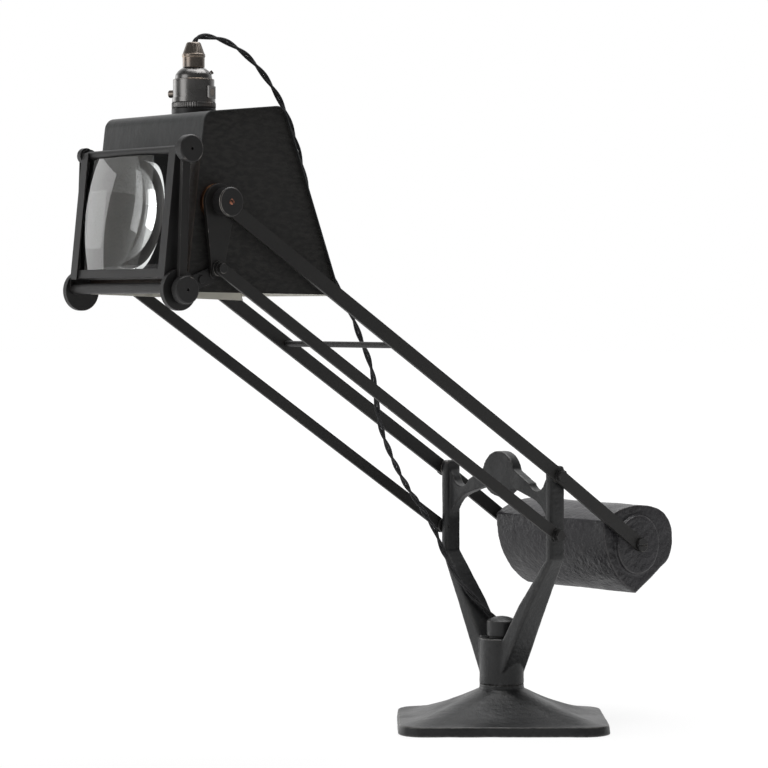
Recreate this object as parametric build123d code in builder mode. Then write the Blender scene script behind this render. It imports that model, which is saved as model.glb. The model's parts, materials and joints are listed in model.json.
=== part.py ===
from build123d import *
import math
import os

import numpy as np

# Counterbalanced magnifier lamp in millimetres, +Z up, origin under the middle of the base.
# The arms lie in the YZ plane: the head is towards -Y, the counterweight towards +Y.

# Base
base_length = 202.0
base_width = 150.0
base_corner = 24.0
base_turn = 49.5
flange_height = 9.7
flange_draft = 8.0
felt_thickness = 2.3
felt_recess = 2.0
felt_margin = 6.0
collar_radius = 21.5
collar_height = 4.5
base_height = 42.0
flare_power = 1.6
flare_stations = (0.0, 0.25, 0.5, 0.75, 1.0)

# Swivel spindle and its cap nut
spindle_radius = 9.0
spindle_thread_radius = 6.0
spindle_head_flats = 26.0
spindle_head_height = 9.0
running_clearance = 0.05
thrust_washer_radius = 12.5
thrust_washer_thickness = 1.6
cap_radius = 14.5
cap_height = 19.0
cap_dome = 4.5

# Yoke
neck_height = 44.5
post_inner = 69.0
post_outer = 77.5
post_depth = 19.0
post_top = 255.3
post_top_fillet = 2.8
leg_bend_height = 166.5
leg_foot_height = 48.0
leg_foot = (-8.0, 14.0, 32.0)
leg_knee_height = 120.0
leg_knee = (35.5, 50.5, 26.5)
leg_round = 3.0
boss_radius = 22.0
boss_thickness = 11.6
boss_front = -5.0
boss_height = 244.9
arch_depth = 10.0
arch_dip = ((43.0, 237.5), (55.0, 231.0), (63.5, 239.0))
arch_span = ((post_inner + 0.5, 196.0), (60.0, 214.5), (43.0, 224.5))

# Arms: pivots as (Y, Z)
upper_pivot = (-2.0, 246.5)
lower_pivot = (-4.9, 190.3)
arm_angle = 31.85
arm_length = 469.0
weight_arm = 131.0
weight_arm_droop = 1.2
strip_thickness = 3.0
upper_strip_width = 13.0
lower_strip_width = 11.0
strip_inner = 79.5
pivot_bolt_radius = 3.0
pivot_bolt_depth = 8.0
pivot_washer_radius = 7.0
pivot_washer_thickness = 1.0
pivot_head_flats = 9.5
pivot_head_height = 4.0
cross_rod_place = 236.0
cross_rod_radius = 2.8
cross_rod_end_radius = 2.2

# Counterweight: outline round the screw axis as (Y, Z) at the stored angle
weight_half_length = 75.5
weight_crease = (-44.0, 25.0)
weight_top = (-8.0, 37.5)
weight_shoulder = (31.5, 33.6)
weight_back = (51.8, 7.6)
weight_hip = (42.0, -20.0)
weight_heel = (0.0, -47.5)
weight_belly = (-34.5, -17.2)
weight_boss_radius = 28.5
weight_screw_radius = 3.0
weight_screw_depth = 10.0
weight_screw_head_radius = 6.5
weight_screw_head_height = 3.0
slot_width = 1.6
slot_depth = 1.2

# Head bracket
bracket_inner = 73.3
bracket_thickness = 4.0
bracket_round = 16.0
bracket_toe = 6.5
head_bolt_radius = 4.0
head_bolt_flange_radius = 9.0
head_bolt_flange = 2.5
friction_disc_radius = 16.0
bracket_spacer_radius = 8.0
stud_radius = 2.5
stud_clearance = 0.3
stud_head_radius = 4.2
stud_head_height = 2.6
knob_radius = 12.7
knob_thickness = 10.5
knob_edge = 1.0
knob_screw_radius = 2.2
knob_screw_proud = 0.4
knob_wall = 3.0

# Housing: side outline as (Y, Z)
housing_half_width = 72.3
sheet_thickness = 1.0
side_recess = 3.1
front_foot = (-433.6, 417.0)
front_top = (-413.5, 571.0)
rear_top = (-326.7, 580.0)
rear_foot = (-263.2, 415.0)
left_drop = (1.5, 4.7)
front_fillet = 11.0
rear_fillet = 12.0

# Lampholder and bulb, on a vertical axis at X 0
holder_y = -370.6
holder_seat = 578.6
skirt_radius = 14.5
skirt_wall = 1.6
skirt_foot = 556.0
ring_radius = 19.4
ring_height = 5.7
rib_radius = 19.0
rib_height = 3.9
body_radius = 18.1
body_wall = 1.2
body_top = 603.4
dome_radius = 16.4
dome_top = 614.9
dome_neck_radius = 8.5
grip_radius = 9.7
grip_height = 8.7
grip_rim_radius = 10.2
grip_rim_height = 3.1
grip_tip_radius = 6.3
grip_top = 636.8
grip_bore_clearance = 0.4
cord_start = 626.7
switch_height = 592.5
switch_turn = 21.0
switch_radius = 3.4
switch_clearance = 0.1
switch_reach = 24.7
switch_plate = (2.2, 11.0, 11.0)
insulator_radius = 15.0
insulator_foot = 596.5
insulator_height = 5.5
plunger_radius = 2.0
plunger_spacing = 12.0
contact_height = 580.0
bulb_cap_radius = 11.0
bulb_cap_length = 27.0
bulb_pin_radius = 1.1
bulb_pin_reach = 13.6
bulb_pin_height = 565.0
bulb_slot_width = 2.6
bulb_radius = 29.0
bulb_bottom = 471.0
bulb_wall = 0.8
dome_screw_radius = 1.7
dome_screw_inset = 1.5
dome_screw_rise = 6.6
dome_screw_length = 2.2

# Lens frame: centre as (Y, Z) in its front plane, and heights up the frame from there
lens_centre = (-448.3, 480.5)
frame_half_width = 69.0
frame_depth = 15.0
frame_strip = 9.5
frame_wall = 1.5
frame_lean = 6.7
flange_foot = -51.5
flange_head = 60.0
lug_foot = -63.8
lug_head = 64.5
lug_round = 6.5
top_tube_radius = 3.6
top_tube_height = 58.5
bottom_tube_radius = 4.6
bottom_tube_height = -59.2
tube_set_back = 5.3
rail_foot = -50.5
glass_foot = -43.0
glass_head = 54.6
lens_radius = 82.5
lens_half_width = 66.5
lens_curve = 320.0
lens_rim = 1.16

# Lens links
lens_foot = (-441.0, 419.5)
ear_radius = 17.5
ear_inner = 69.2
ear_thickness = 4.8
ear_tail = (-404.0, 433.0)
ear_tail_width = 13.0
ear_tail_thickness = 2.6
rivet_radius = 2.0
rivet_head_radius = 3.4
rivet_head = 1.2
rivet_shares = (0.66, 0.98)
link_inner = 74.0
link_thickness = 4.0
link_width = 8.0
link_end_radius = 8.0
strap_thickness = 1.5
strap_width = 7.0
strap_end_radius = 4.5
lens_bolt_radius = 3.0
lens_boss_radius = 7.0
lens_knob_radius = 12.0
lens_knob_thickness = 7.5
lens_knob_hole = 1.3
lens_knob_hole_depth = 2.5

# Cord: a twisted pair of cloth-covered cores
cord_diameter = 5.5
coil_away = 113.0
coil_middle_radius = 28.5
coil_pitch = 6.1
coil_turns = 3
coil_end_turn = 40.0
plug_radius = 16.0
plug_length = 26.0
plug_neck = 11.0
plug_neck_radius = 6.0
plug_aside = 10.5
pin_radius = 2.0
pin_spacing = 13.0
pin_length = 16.0

os.makedirs("parts", exist_ok=True)


def keep(part, label):
    """Writes one finished piece, or one group of like pieces, to its own file."""
    part.label = label
    export_step(part, f"parts/{label}.step")


def side_plane(x):
    """The plane at X = x, whose sketch coordinates are (Y, Z) and whose normal is +X."""
    return Plane.YZ.offset(x)


def beyond(point, angle, distance):
    """The point that lies a distance away at an angle from +Y towards +Z."""
    turn = math.radians(angle)
    return (point[0] + distance * math.cos(turn), point[1] + distance * math.sin(turn))


def middle(a, b):
    return tuple((p + q) / 2 for p, q in zip(a, b))


def gap(a, b):
    return math.dist(a, b)


def heading(a, b):
    """The angle from +Y towards +Z of the way from a to b."""
    return math.degrees(math.atan2(b[1] - a[1], b[0] - a[0]))


# The parallelogram's four pivots, and the weight's screw
head_pivot = beyond(upper_pivot, 180 - arm_angle, arm_length)
head_foot = beyond(lower_pivot, 180 - arm_angle, arm_length)
weight_pivot = beyond(upper_pivot, -arm_angle - weight_arm_droop, weight_arm)
cross_rod_pivot = beyond(upper_pivot, 180 - arm_angle, cross_rod_place)
strip_outer = strip_inner + strip_thickness
neck_top = base_height + neck_height
print("head pivot", [round(v, 1) for v in head_pivot], "head foot", [round(v, 1) for v in head_foot])
print("weight screw", [round(v, 1) for v in weight_pivot])

# Base casting: a drafted flange, a flared pyramid up to a round collar, and the spindle's bore
base_plane = Plane.XY.rotated((0, 0, base_turn))
flange_inset = flange_height * math.tan(math.radians(flange_draft))
flare_top = base_height - collar_height
felt_height = felt_thickness - felt_recess
with BuildPart() as base_casting:
    for share in flare_stations:
        height = flange_height + (flare_top - flange_height) * (1 - share) ** flare_power
        half_length = collar_radius + (base_length / 2 - flange_inset - collar_radius) * share
        half_width = collar_radius + (base_width / 2 - flange_inset - collar_radius) * share
        corner = collar_radius - 0.5 + (base_corner - 2 - collar_radius) * share
        with BuildSketch(base_plane.offset(height)):
            RectangleRounded(2 * half_length, 2 * half_width, corner)
    loft()
    with BuildSketch(base_plane.offset(felt_height)):
        RectangleRounded(base_length, base_width, base_corner)
    extrude(amount=flange_height - felt_height, taper=flange_draft)
    with BuildSketch(Plane.XY.offset(flare_top)):
        Circle(collar_radius)
    extrude(amount=collar_height)
    with BuildSketch(base_plane.offset(felt_height)):
        RectangleRounded(base_length - 2 * felt_margin, base_width - 2 * felt_margin, base_corner - felt_margin)
    extrude(amount=felt_recess, mode=Mode.SUBTRACT)
    with BuildSketch(Plane.XY):
        RegularPolygon(spindle_head_flats / 2, 6, major_radius=False)
    extrude(amount=felt_thickness + spindle_head_height, mode=Mode.SUBTRACT)
    with BuildSketch(Plane.XY):
        Circle(spindle_radius)
    extrude(amount=base_height, mode=Mode.SUBTRACT)
keep(base_casting.part, "base_casting")

with BuildPart() as base_felt:
    with BuildSketch(base_plane):
        RectangleRounded(base_length - 2 * felt_margin, base_width - 2 * felt_margin, base_corner - felt_margin)
    extrude(amount=felt_thickness)
keep(base_felt.part, "base_felt")

# Swivel spindle: a hexagon-headed bolt up through the base and the yoke's neck
washer_top = neck_top + thrust_washer_thickness
with BuildPart() as spindle:
    with BuildSketch(Plane.XY.offset(felt_thickness)):
        RegularPolygon(spindle_head_flats / 2, 6, major_radius=False)
    extrude(amount=spindle_head_height)
    with BuildSketch(Plane.XY.offset(felt_thickness)):
        Circle(spindle_radius)
    extrude(amount=washer_top - felt_thickness)
    with BuildSketch(Plane.XY.offset(washer_top)):
        Circle(spindle_thread_radius)
    extrude(amount=cap_height - cap_dome - 2)
keep(spindle.part, "spindle")

with BuildPart() as thrust_washer:
    with BuildSketch(Plane.XY.offset(neck_top)):
        Circle(thrust_washer_radius)
        Circle(spindle_radius, mode=Mode.SUBTRACT)
    extrude(amount=thrust_washer_thickness)
keep(thrust_washer.part, "thrust_washer")

with BuildPart() as spindle_cap:
    with BuildSketch(Plane.XY.offset(washer_top)):
        Circle(cap_radius)
    extrude(amount=cap_height + cap_dome)
    cap_ball = (cap_radius**2 + cap_dome**2) / (2 * cap_dome)
    with Locations((0, 0, washer_top + cap_height - cap_ball)):
        Sphere(cap_ball, mode=Mode.INTERSECT)
    with BuildSketch(Plane.XY.offset(washer_top)):
        Circle(spindle_thread_radius)
    extrude(amount=cap_height - cap_dome - 2, mode=Mode.SUBTRACT)
keep(spindle_cap.part, "spindle_cap")

# Yoke casting: neck, two legs, two posts, the arch and its round boss
leg_stations = (
    (leg_foot_height, leg_foot),
    (leg_knee_height, leg_knee),
    (leg_bend_height, (post_inner, post_outer, post_depth)),
)
with BuildPart() as yoke_casting:
    for height, (inner, outer, depth) in leg_stations:
        with BuildSketch(Plane.XY.offset(height)):
            with Locations(((inner + outer) / 2, 0)):
                RectangleRounded(outer - inner, depth, leg_round)
    loft(ruled=True)
    with BuildSketch(Plane.XY.offset(leg_bend_height)):
        with Locations(((post_inner + post_outer) / 2, 0)):
            RectangleRounded(post_outer - post_inner, post_depth, leg_round)
    extrude(amount=post_top - leg_bend_height)
    fillet(yoke_casting.faces().sort_by(Axis.Z)[-1].edges(), post_top_fillet)
    with BuildSketch(Plane.XZ):
        with BuildLine():
            Polyline((0, boss_height - 13), (0, boss_height + 8), (18, boss_height + 7), arch_dip[0])
            ThreePointArc(*arch_dip)
            Polyline(arch_dip[2], (post_inner + 1, arch_dip[2][1] + 9), (post_inner + 4, arch_dip[2][1] + 9))
            Line((post_inner + 4, arch_dip[2][1] + 9), (post_inner + 4, arch_span[0][1]))
            Line((post_inner + 4, arch_span[0][1]), arch_span[0])
            ThreePointArc(*arch_span)
            Polyline(arch_span[2], (20, boss_height - 13), (0, boss_height - 13))
        make_face()
    extrude(amount=arch_depth / 2, both=True)
    mirror(about=Plane.YZ)
    with BuildSketch(Plane.XY.offset(base_height)):
        Circle(collar_radius)
    extrude(amount=neck_height)
    with BuildSketch(Plane.XZ.offset(-boss_front)):
        with Locations((0, boss_height)):
            Circle(boss_radius)
    extrude(amount=-boss_thickness)
    with BuildSketch(Plane.XY.offset(base_height)):
        Circle(spindle_radius + running_clearance)
    extrude(amount=neck_height, mode=Mode.SUBTRACT)
    with BuildSketch(Plane.XY.offset(neck_top)):
        Circle(cap_radius + 1.5)
    extrude(amount=cap_height + 8, mode=Mode.SUBTRACT)
    for side in (-1, 1):
        with BuildSketch(side_plane(side * post_outer)):
            with Locations(upper_pivot, lower_pivot):
                Circle(pivot_bolt_radius)
        extrude(amount=-side * pivot_bolt_depth, mode=Mode.SUBTRACT)
keep(yoke_casting.part, "yoke_casting")

# Arm pivots: spacers against the posts, then the strip, a washer and a hexagon-headed bolt
with BuildPart() as arm_pivot_spacers:
    with BuildSketch(side_plane(post_outer)):
        with Locations(upper_pivot, lower_pivot):
            Circle(pivot_washer_radius)
            Circle(pivot_bolt_radius, mode=Mode.SUBTRACT)
    extrude(amount=strip_inner - post_outer)
    mirror(about=Plane.YZ)
keep(arm_pivot_spacers.part, "arm_pivot_spacers")

with BuildPart() as arm_pivot_bolts:
    with BuildSketch(side_plane(post_outer - pivot_bolt_depth)):
        with Locations(upper_pivot, lower_pivot):
            Circle(pivot_bolt_radius)
    extrude(amount=strip_outer - post_outer + pivot_bolt_depth)
    with BuildSketch(side_plane(strip_outer)):
        with Locations(upper_pivot, lower_pivot):
            Circle(pivot_washer_radius)
    extrude(amount=pivot_washer_thickness)
    with BuildSketch(side_plane(strip_outer + pivot_washer_thickness)):
        with Locations(upper_pivot, lower_pivot):
            RegularPolygon(pivot_head_flats / 2, 6, major_radius=False)
    extrude(amount=pivot_head_height)
    mirror(about=Plane.YZ)
keep(arm_pivot_bolts.part, "arm_pivot_bolts")

# Upper strips: one flat bar from the head to the weight, set down a little behind the pivot
with BuildPart() as upper_strip_right:
    with BuildSketch(side_plane(strip_inner)):
        with Locations(middle(head_pivot, upper_pivot)):
            SlotCenterToCenter(arm_length, upper_strip_width, rotation=-arm_angle)
        with Locations(middle(upper_pivot, weight_pivot)):
            SlotCenterToCenter(weight_arm, upper_strip_width, rotation=-arm_angle - weight_arm_droop)
        with Locations(head_pivot):
            Circle(head_bolt_radius + running_clearance, mode=Mode.SUBTRACT)
        with Locations(upper_pivot):
            Circle(pivot_bolt_radius + running_clearance, mode=Mode.SUBTRACT)
        with Locations(weight_pivot):
            Circle(weight_screw_radius, mode=Mode.SUBTRACT)
        with Locations(cross_rod_pivot):
            Circle(cross_rod_end_radius, mode=Mode.SUBTRACT)
    extrude(amount=strip_thickness)
keep(upper_strip_right.part, "upper_strip_right")

with BuildPart() as upper_strip_left:
    mirror(upper_strip_right.part, about=Plane.YZ)
keep(upper_strip_left.part, "upper_strip_left")

with BuildPart() as lower_strip_right:
    with BuildSketch(side_plane(strip_inner)):
        with Locations(middle(head_foot, lower_pivot)):
            SlotCenterToCenter(arm_length, lower_strip_width, rotation=-arm_angle)
        with Locations(head_foot):
            Circle(stud_radius + stud_clearance, mode=Mode.SUBTRACT)
        with Locations(lower_pivot):
            Circle(pivot_bolt_radius + running_clearance, mode=Mode.SUBTRACT)
    extrude(amount=strip_thickness)
keep(lower_strip_right.part, "lower_strip_right")

with BuildPart() as lower_strip_left:
    mirror(lower_strip_right.part, about=Plane.YZ)
keep(lower_strip_left.part, "lower_strip_left")

with BuildPart() as cross_rod:
    with BuildSketch(side_plane(-strip_inner)):
        with Locations(cross_rod_pivot):
            Circle(cross_rod_radius)
    extrude(amount=2 * strip_inner)
    with BuildSketch(side_plane(-strip_outer)):
        with Locations(cross_rod_pivot):
            Circle(cross_rod_end_radius)
    extrude(amount=2 * strip_outer)
keep(cross_rod.part, "cross_rod")


def on_weight(point):
    return (weight_pivot[0] + point[0], weight_pivot[1] + point[1])


# Counterweight: an egg-shaped iron bar with a sharp front crease and a round boss on each end
with BuildPart() as counterweight:
    with BuildSketch(side_plane(-weight_half_length)):
        with BuildLine():
            ThreePointArc(on_weight(weight_crease), on_weight(weight_top), on_weight(weight_shoulder))
            ThreePointArc(on_weight(weight_shoulder), on_weight(weight_back), on_weight(weight_hip))
            Line(on_weight(weight_hip), on_weight(weight_heel))
            ThreePointArc(on_weight(weight_heel), on_weight(weight_belly), on_weight(weight_crease))
        make_face()
    extrude(amount=2 * weight_half_length)
    with BuildSketch(side_plane(-strip_inner)):
        with Locations(weight_pivot):
            Circle(weight_boss_radius)
    extrude(amount=2 * strip_inner)
    for side in (-1, 1):
        with BuildSketch(side_plane(side * strip_inner)):
            with Locations(weight_pivot):
                Circle(weight_screw_radius)
        extrude(amount=-side * weight_screw_depth, mode=Mode.SUBTRACT)
keep(counterweight.part, "counterweight")

with BuildPart() as weight_screws:
    with BuildSketch(side_plane(strip_inner - weight_screw_depth)):
        with Locations(weight_pivot):
            Circle(weight_screw_radius)
    extrude(amount=weight_screw_depth + strip_thickness)
    with BuildSketch(side_plane(strip_outer)):
        with Locations(weight_pivot):
            Circle(weight_screw_head_radius)
    extrude(amount=weight_screw_head_height)
    with BuildSketch(side_plane(strip_outer + weight_screw_head_height)):
        with Locations(weight_pivot):
            Rectangle(2 * weight_screw_head_radius, slot_width)
    extrude(amount=-slot_depth, mode=Mode.SUBTRACT)
    mirror(about=Plane.YZ)
keep(weight_screws.part, "weight_screws")

# Head bracket: a teardrop plate on each side, with its stud for the lower strip
bracket_outer = bracket_inner + bracket_thickness
with BuildPart() as bracket_plate_right:
    with BuildSketch(side_plane(bracket_inner)):
        with Locations(head_pivot):
            Circle(bracket_round)
        with Locations(head_foot):
            Circle(bracket_toe)
        make_hull()
        with Locations(head_pivot):
            Circle(head_bolt_radius + running_clearance, mode=Mode.SUBTRACT)
        with Locations(head_foot):
            Circle(stud_radius, mode=Mode.SUBTRACT)
    extrude(amount=bracket_thickness)
keep(bracket_plate_right.part, "bracket_plate_right")

with BuildPart() as bracket_plate_left:
    mirror(bracket_plate_right.part, about=Plane.YZ)
keep(bracket_plate_left.part, "bracket_plate_left")

with BuildPart() as bracket_studs:
    with BuildSketch(side_plane(bracket_inner)):
        with Locations(head_foot):
            Circle(stud_radius)
    extrude(amount=strip_outer + stud_clearance - bracket_inner)
    with BuildSketch(side_plane(bracket_outer)):
        with Locations(head_foot):
            Circle(bracket_toe)
    extrude(amount=strip_inner - bracket_outer)
    with BuildSketch(side_plane(strip_outer + stud_clearance)):
        with Locations(head_foot):
            Circle(stud_head_radius)
    extrude(amount=stud_head_height)
    mirror(about=Plane.YZ)
keep(bracket_studs.part, "bracket_studs")

with BuildPart() as bracket_spacers:
    with BuildSketch(side_plane(bracket_outer)):
        with Locations(head_pivot):
            Circle(bracket_spacer_radius)
            Circle(head_bolt_radius + running_clearance, mode=Mode.SUBTRACT)
    extrude(amount=strip_inner - bracket_outer)
    mirror(about=Plane.YZ)
keep(bracket_spacers.part, "bracket_spacers")

# Housing: one bent sheet over the front, top and rear, and two side panels set in from its edges
side_outer = housing_half_width - side_recess
side_inner = side_outer - sheet_thickness


def lowered(foot, top, drop):
    """The foot of a sheet's line, moved down along it."""
    share = drop / (top[1] - foot[1])
    return (foot[0] - share * (top[0] - foot[0]), foot[1] - drop)


def housing_outline(x, inset, drop=(0.0, 0.0)):
    """The side outline at X = x, moved in and its feet down, with its two top corners rounded."""
    front = lowered(front_foot, front_top, drop[0])
    rear = lowered(rear_foot, rear_top, drop[1])
    with BuildSketch(side_plane(x)) as outline:
        with BuildLine():
            FilletPolyline(front, front_top, rear_top, rear, radius=(front_fillet, rear_fillet))
            Line(rear, front)
        make_face()
        if inset:
            offset(amount=-inset, mode=Mode.REPLACE)
    return outline.sketch


front_lean = math.atan2(front_top[0] - front_foot[0], front_top[1] - front_foot[1])
rear_lean = math.atan2(rear_foot[0] - rear_top[0], rear_top[1] - rear_foot[1])
front_wall = sheet_thickness / math.cos(front_lean)
rear_wall = sheet_thickness / math.cos(rear_lean)
foot_depth = 3 * sheet_thickness
with BuildPart() as housing_wrapper:
    extrude(housing_outline(-housing_half_width, 0), amount=2 * housing_half_width, dir=(1, 0, 0))
    extrude(
        housing_outline(-housing_half_width, sheet_thickness),
        amount=2 * housing_half_width,
        dir=(1, 0, 0),
        mode=Mode.SUBTRACT,
    )
    with BuildSketch(side_plane(-housing_half_width)):
        with BuildLine():
            Polyline(
                (front_foot[0] + front_wall, front_foot[1]),
                (front_foot[0] + front_wall + foot_depth * math.tan(front_lean), front_foot[1] + foot_depth),
                (rear_foot[0] - rear_wall - foot_depth * math.tan(rear_lean), rear_foot[1] + foot_depth),
                (rear_foot[0] - rear_wall, rear_foot[1]),
                (rear_foot[0] - rear_wall, rear_foot[1] - foot_depth),
                (front_foot[0] + front_wall, rear_foot[1] - foot_depth),
                close=True,
            )
        make_face()
    extrude(amount=2 * housing_half_width, mode=Mode.SUBTRACT)
    with BuildSketch(Plane.XY.offset(holder_seat)):
        with Locations((0, holder_y)):
            Circle(skirt_radius)
    extrude(amount=-12, mode=Mode.SUBTRACT)
    for side in (-1, 1):
        with BuildSketch(side_plane(side * ear_inner)):
            with Locations(middle(lens_foot, ear_tail)):
                SlotCenterToCenter(
                    gap(lens_foot, ear_tail), ear_tail_width + 0.4, rotation=heading(lens_foot, ear_tail)
                )
            with Locations(lens_foot):
                Circle(ear_radius + 0.2)
        extrude(amount=side * ear_thickness, mode=Mode.SUBTRACT)
keep(housing_wrapper.part, "housing_wrapper")

rivet_places = [
    tuple(foot + share * (tail - foot) for foot, tail in zip(lens_foot, ear_tail)) for share in rivet_shares
]
for label, inner_face, drop in (
    ("housing_side_right", side_inner, (0.0, 0.0)),
    ("housing_side_left", -side_outer, left_drop),
):
    with BuildPart() as housing_side:
        extrude(housing_outline(inner_face, sheet_thickness, drop), amount=sheet_thickness, dir=(1, 0, 0))
        with BuildSketch(side_plane(inner_face)):
            with Locations(head_pivot):
                Circle(head_bolt_radius)
            with Locations(rivet_places):
                Circle(rivet_radius)
        extrude(amount=sheet_thickness, mode=Mode.SUBTRACT)
    keep(housing_side.part, label)

# Head pivots: friction disc, bracket plate, spacer, strip, then a round knob clamped by a bolt
with BuildPart() as friction_discs:
    with BuildSketch(side_plane(side_outer)):
        with Locations(head_pivot):
            Circle(friction_disc_radius)
            Circle(head_bolt_radius, mode=Mode.SUBTRACT)
    extrude(amount=bracket_inner - side_outer)
    mirror(about=Plane.YZ)
keep(friction_discs.part, "friction_discs")

knob_outer = strip_outer + knob_thickness
with BuildPart() as head_pivot_bolts:
    with BuildSketch(side_plane(side_inner - head_bolt_flange)):
        with Locations(head_pivot):
            Circle(head_bolt_flange_radius)
    extrude(amount=head_bolt_flange)
    with BuildSketch(side_plane(side_inner - head_bolt_flange)):
        with Locations(head_pivot):
            Circle(head_bolt_radius)
    extrude(amount=knob_outer - knob_wall - side_inner + head_bolt_flange)
    with BuildSketch(side_plane(knob_outer - knob_wall)):
        with Locations(head_pivot):
            Circle(knob_screw_radius)
    extrude(amount=knob_wall + knob_screw_proud)
    mirror(about=Plane.YZ)
keep(head_pivot_bolts.part, "head_pivot_bolts")

with BuildPart() as head_knobs:
    with BuildSketch(side_plane(strip_outer)):
        with Locations(head_pivot):
            Circle(knob_radius)
    extrude(amount=knob_thickness)
    chamfer(head_knobs.edges().group_by(Axis.X)[-1], knob_edge)
    with BuildSketch(side_plane(strip_outer)):
        with Locations(head_pivot):
            Circle(head_bolt_radius)
    extrude(amount=knob_thickness - knob_wall, mode=Mode.SUBTRACT)
    with BuildSketch(side_plane(strip_outer)):
        with Locations(head_pivot):
            Circle(knob_screw_radius)
    extrude(amount=knob_thickness, mode=Mode.SUBTRACT)
    mirror(about=Plane.YZ)
keep(head_knobs.part, "head_knobs")

# Lens ears: a disc in front of the housing's lower corner with a tail riveted to the side panel
with BuildPart() as lens_ear_right:
    with BuildSketch(side_plane(ear_inner)):
        with Locations(middle(lens_foot, ear_tail)):
            SlotCenterToCenter(gap(lens_foot, ear_tail), ear_tail_width, rotation=heading(lens_foot, ear_tail))
        with Locations(rivet_places):
            Circle(rivet_radius, mode=Mode.SUBTRACT)
    extrude(amount=ear_tail_thickness)
    with BuildSketch(side_plane(ear_inner)):
        with Locations(lens_foot):
            Circle(ear_radius)
    extrude(amount=ear_thickness)
    with BuildSketch(side_plane(ear_inner)):
        with Locations(lens_foot):
            Circle(lens_bolt_radius)
    extrude(amount=ear_thickness, mode=Mode.SUBTRACT)
keep(lens_ear_right.part, "lens_ear_right")

with BuildPart() as lens_ear_left:
    mirror(lens_ear_right.part, about=Plane.YZ)
keep(lens_ear_left.part, "lens_ear_left")

with BuildPart() as ear_rivets:
    for start, length, radius in (
        (side_inner - rivet_head, rivet_head, rivet_head_radius),
        (side_inner, sheet_thickness + ear_tail_thickness, rivet_radius),
        (ear_inner + ear_tail_thickness, rivet_head, rivet_head_radius),
    ):
        with BuildSketch(side_plane(start)):
            with Locations(rivet_places):
                Circle(radius)
        extrude(amount=length)
    mirror(about=Plane.YZ)
keep(ear_rivets.part, "ear_rivets")


def lens_plane(forward):
    """The frame's plane, moved forward: sketch x is X, sketch y runs up the frame."""
    lean = math.radians(frame_lean)
    ahead = (0, -math.cos(lean), math.sin(lean))
    return Plane(origin=(0, *lens_centre), x_dir=(1, 0, 0), z_dir=ahead).offset(forward)


lens_head = lens_plane(-tube_set_back).from_local_coords((0, top_tube_height, 0))
lens_head = (lens_head.Y, lens_head.Z)
link_outer = link_inner + link_thickness
strap_outer = link_inner + strap_thickness
lens_knob_outer = link_outer + lens_knob_thickness
print("lens head pivot", [round(v, 1) for v in lens_head], "link length", round(gap(lens_foot, lens_head), 1))

# Lens links: a flat bar between the two knobs on the right, and a thin strap on the left
for label, inner_face, thick, width, end_radius in (
    ("lens_link_right", link_inner, link_thickness, link_width, link_end_radius),
    ("lens_link_left", -strap_outer, strap_thickness, strap_width, strap_end_radius),
):
    with BuildPart() as lens_link:
        with BuildSketch(side_plane(inner_face)):
            with Locations(middle(lens_foot, lens_head)):
                SlotCenterToCenter(gap(lens_foot, lens_head), width, rotation=heading(lens_foot, lens_head))
            with Locations(lens_foot, lens_head):
                Circle(end_radius)
                Circle(lens_bolt_radius + running_clearance, mode=Mode.SUBTRACT)
        extrude(amount=thick)
    keep(lens_link.part, label)

for label, place, start in (
    ("lens_lower_bolts", lens_foot, ear_inner),
    ("lens_upper_bolts", lens_head, frame_half_width - frame_wall),
):
    with BuildPart() as lens_bolts:
        with BuildSketch(side_plane(start)):
            with Locations(place):
                Circle(lens_bolt_radius)
        extrude(amount=lens_knob_outer - knob_wall - start)
        with BuildSketch(side_plane(-start)):
            with Locations(place):
                Circle(lens_bolt_radius)
        extrude(amount=start - strap_outer)
    keep(lens_bolts.part, label)

for label, place in (("lens_lower_knob", lens_foot), ("lens_upper_knob", lens_head)):
    with BuildPart() as lens_knobs:
        with BuildSketch(side_plane(link_outer)):
            with Locations(place):
                Circle(lens_knob_radius)
        extrude(amount=lens_knob_thickness)
        chamfer(lens_knobs.edges().group_by(Axis.X)[-1], knob_edge)
        with BuildSketch(side_plane(link_outer)):
            with Locations(place):
                Circle(lens_bolt_radius)
        extrude(amount=lens_knob_thickness - knob_wall, mode=Mode.SUBTRACT)
        with BuildSketch(side_plane(lens_knob_outer)):
            with Locations(place):
                Circle(lens_knob_hole)
        extrude(amount=-lens_knob_hole_depth, mode=Mode.SUBTRACT)
    keep(lens_knobs.part, label)

# Lens frame: a channel on each side that is open towards the lens, with lugs for the tubes
flange_middle = (flange_foot + flange_head) / 2
with BuildPart() as frame_side_right:
    with BuildSketch(lens_plane(0)):
        with Locations((frame_half_width - frame_wall / 2, (lug_foot + lug_head) / 2)):
            Rectangle(frame_wall, lug_head - lug_foot)
    extrude(amount=-frame_depth)
    lug_edges = frame_side_right.edges().filter_by(Axis.X).sort_by(Axis.Z)
    fillet([*lug_edges[:2], *lug_edges[-2:]], lug_round)
    with BuildSketch(lens_plane(0)):
        with Locations((frame_half_width - frame_strip / 2, flange_middle)):
            Rectangle(frame_strip, flange_head - flange_foot)
    extrude(amount=-frame_depth)
    with BuildSketch(lens_plane(-frame_wall)):
        with Locations((frame_half_width - frame_wall - frame_strip / 2, flange_middle)):
            Rectangle(frame_strip, flange_head - flange_foot)
    extrude(amount=-frame_depth + 2 * frame_wall, mode=Mode.SUBTRACT)
    with BuildSketch(side_plane(frame_half_width)):
        with Locations(lens_head):
            Circle(lens_boss_radius)
    extrude(amount=link_inner - frame_half_width)
    with BuildSketch(side_plane(frame_half_width - frame_wall)):
        with Locations(lens_head):
            Circle(lens_bolt_radius)
    extrude(amount=link_inner - frame_half_width + frame_wall, mode=Mode.SUBTRACT)
keep(frame_side_right.part, "frame_side_right")

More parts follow.
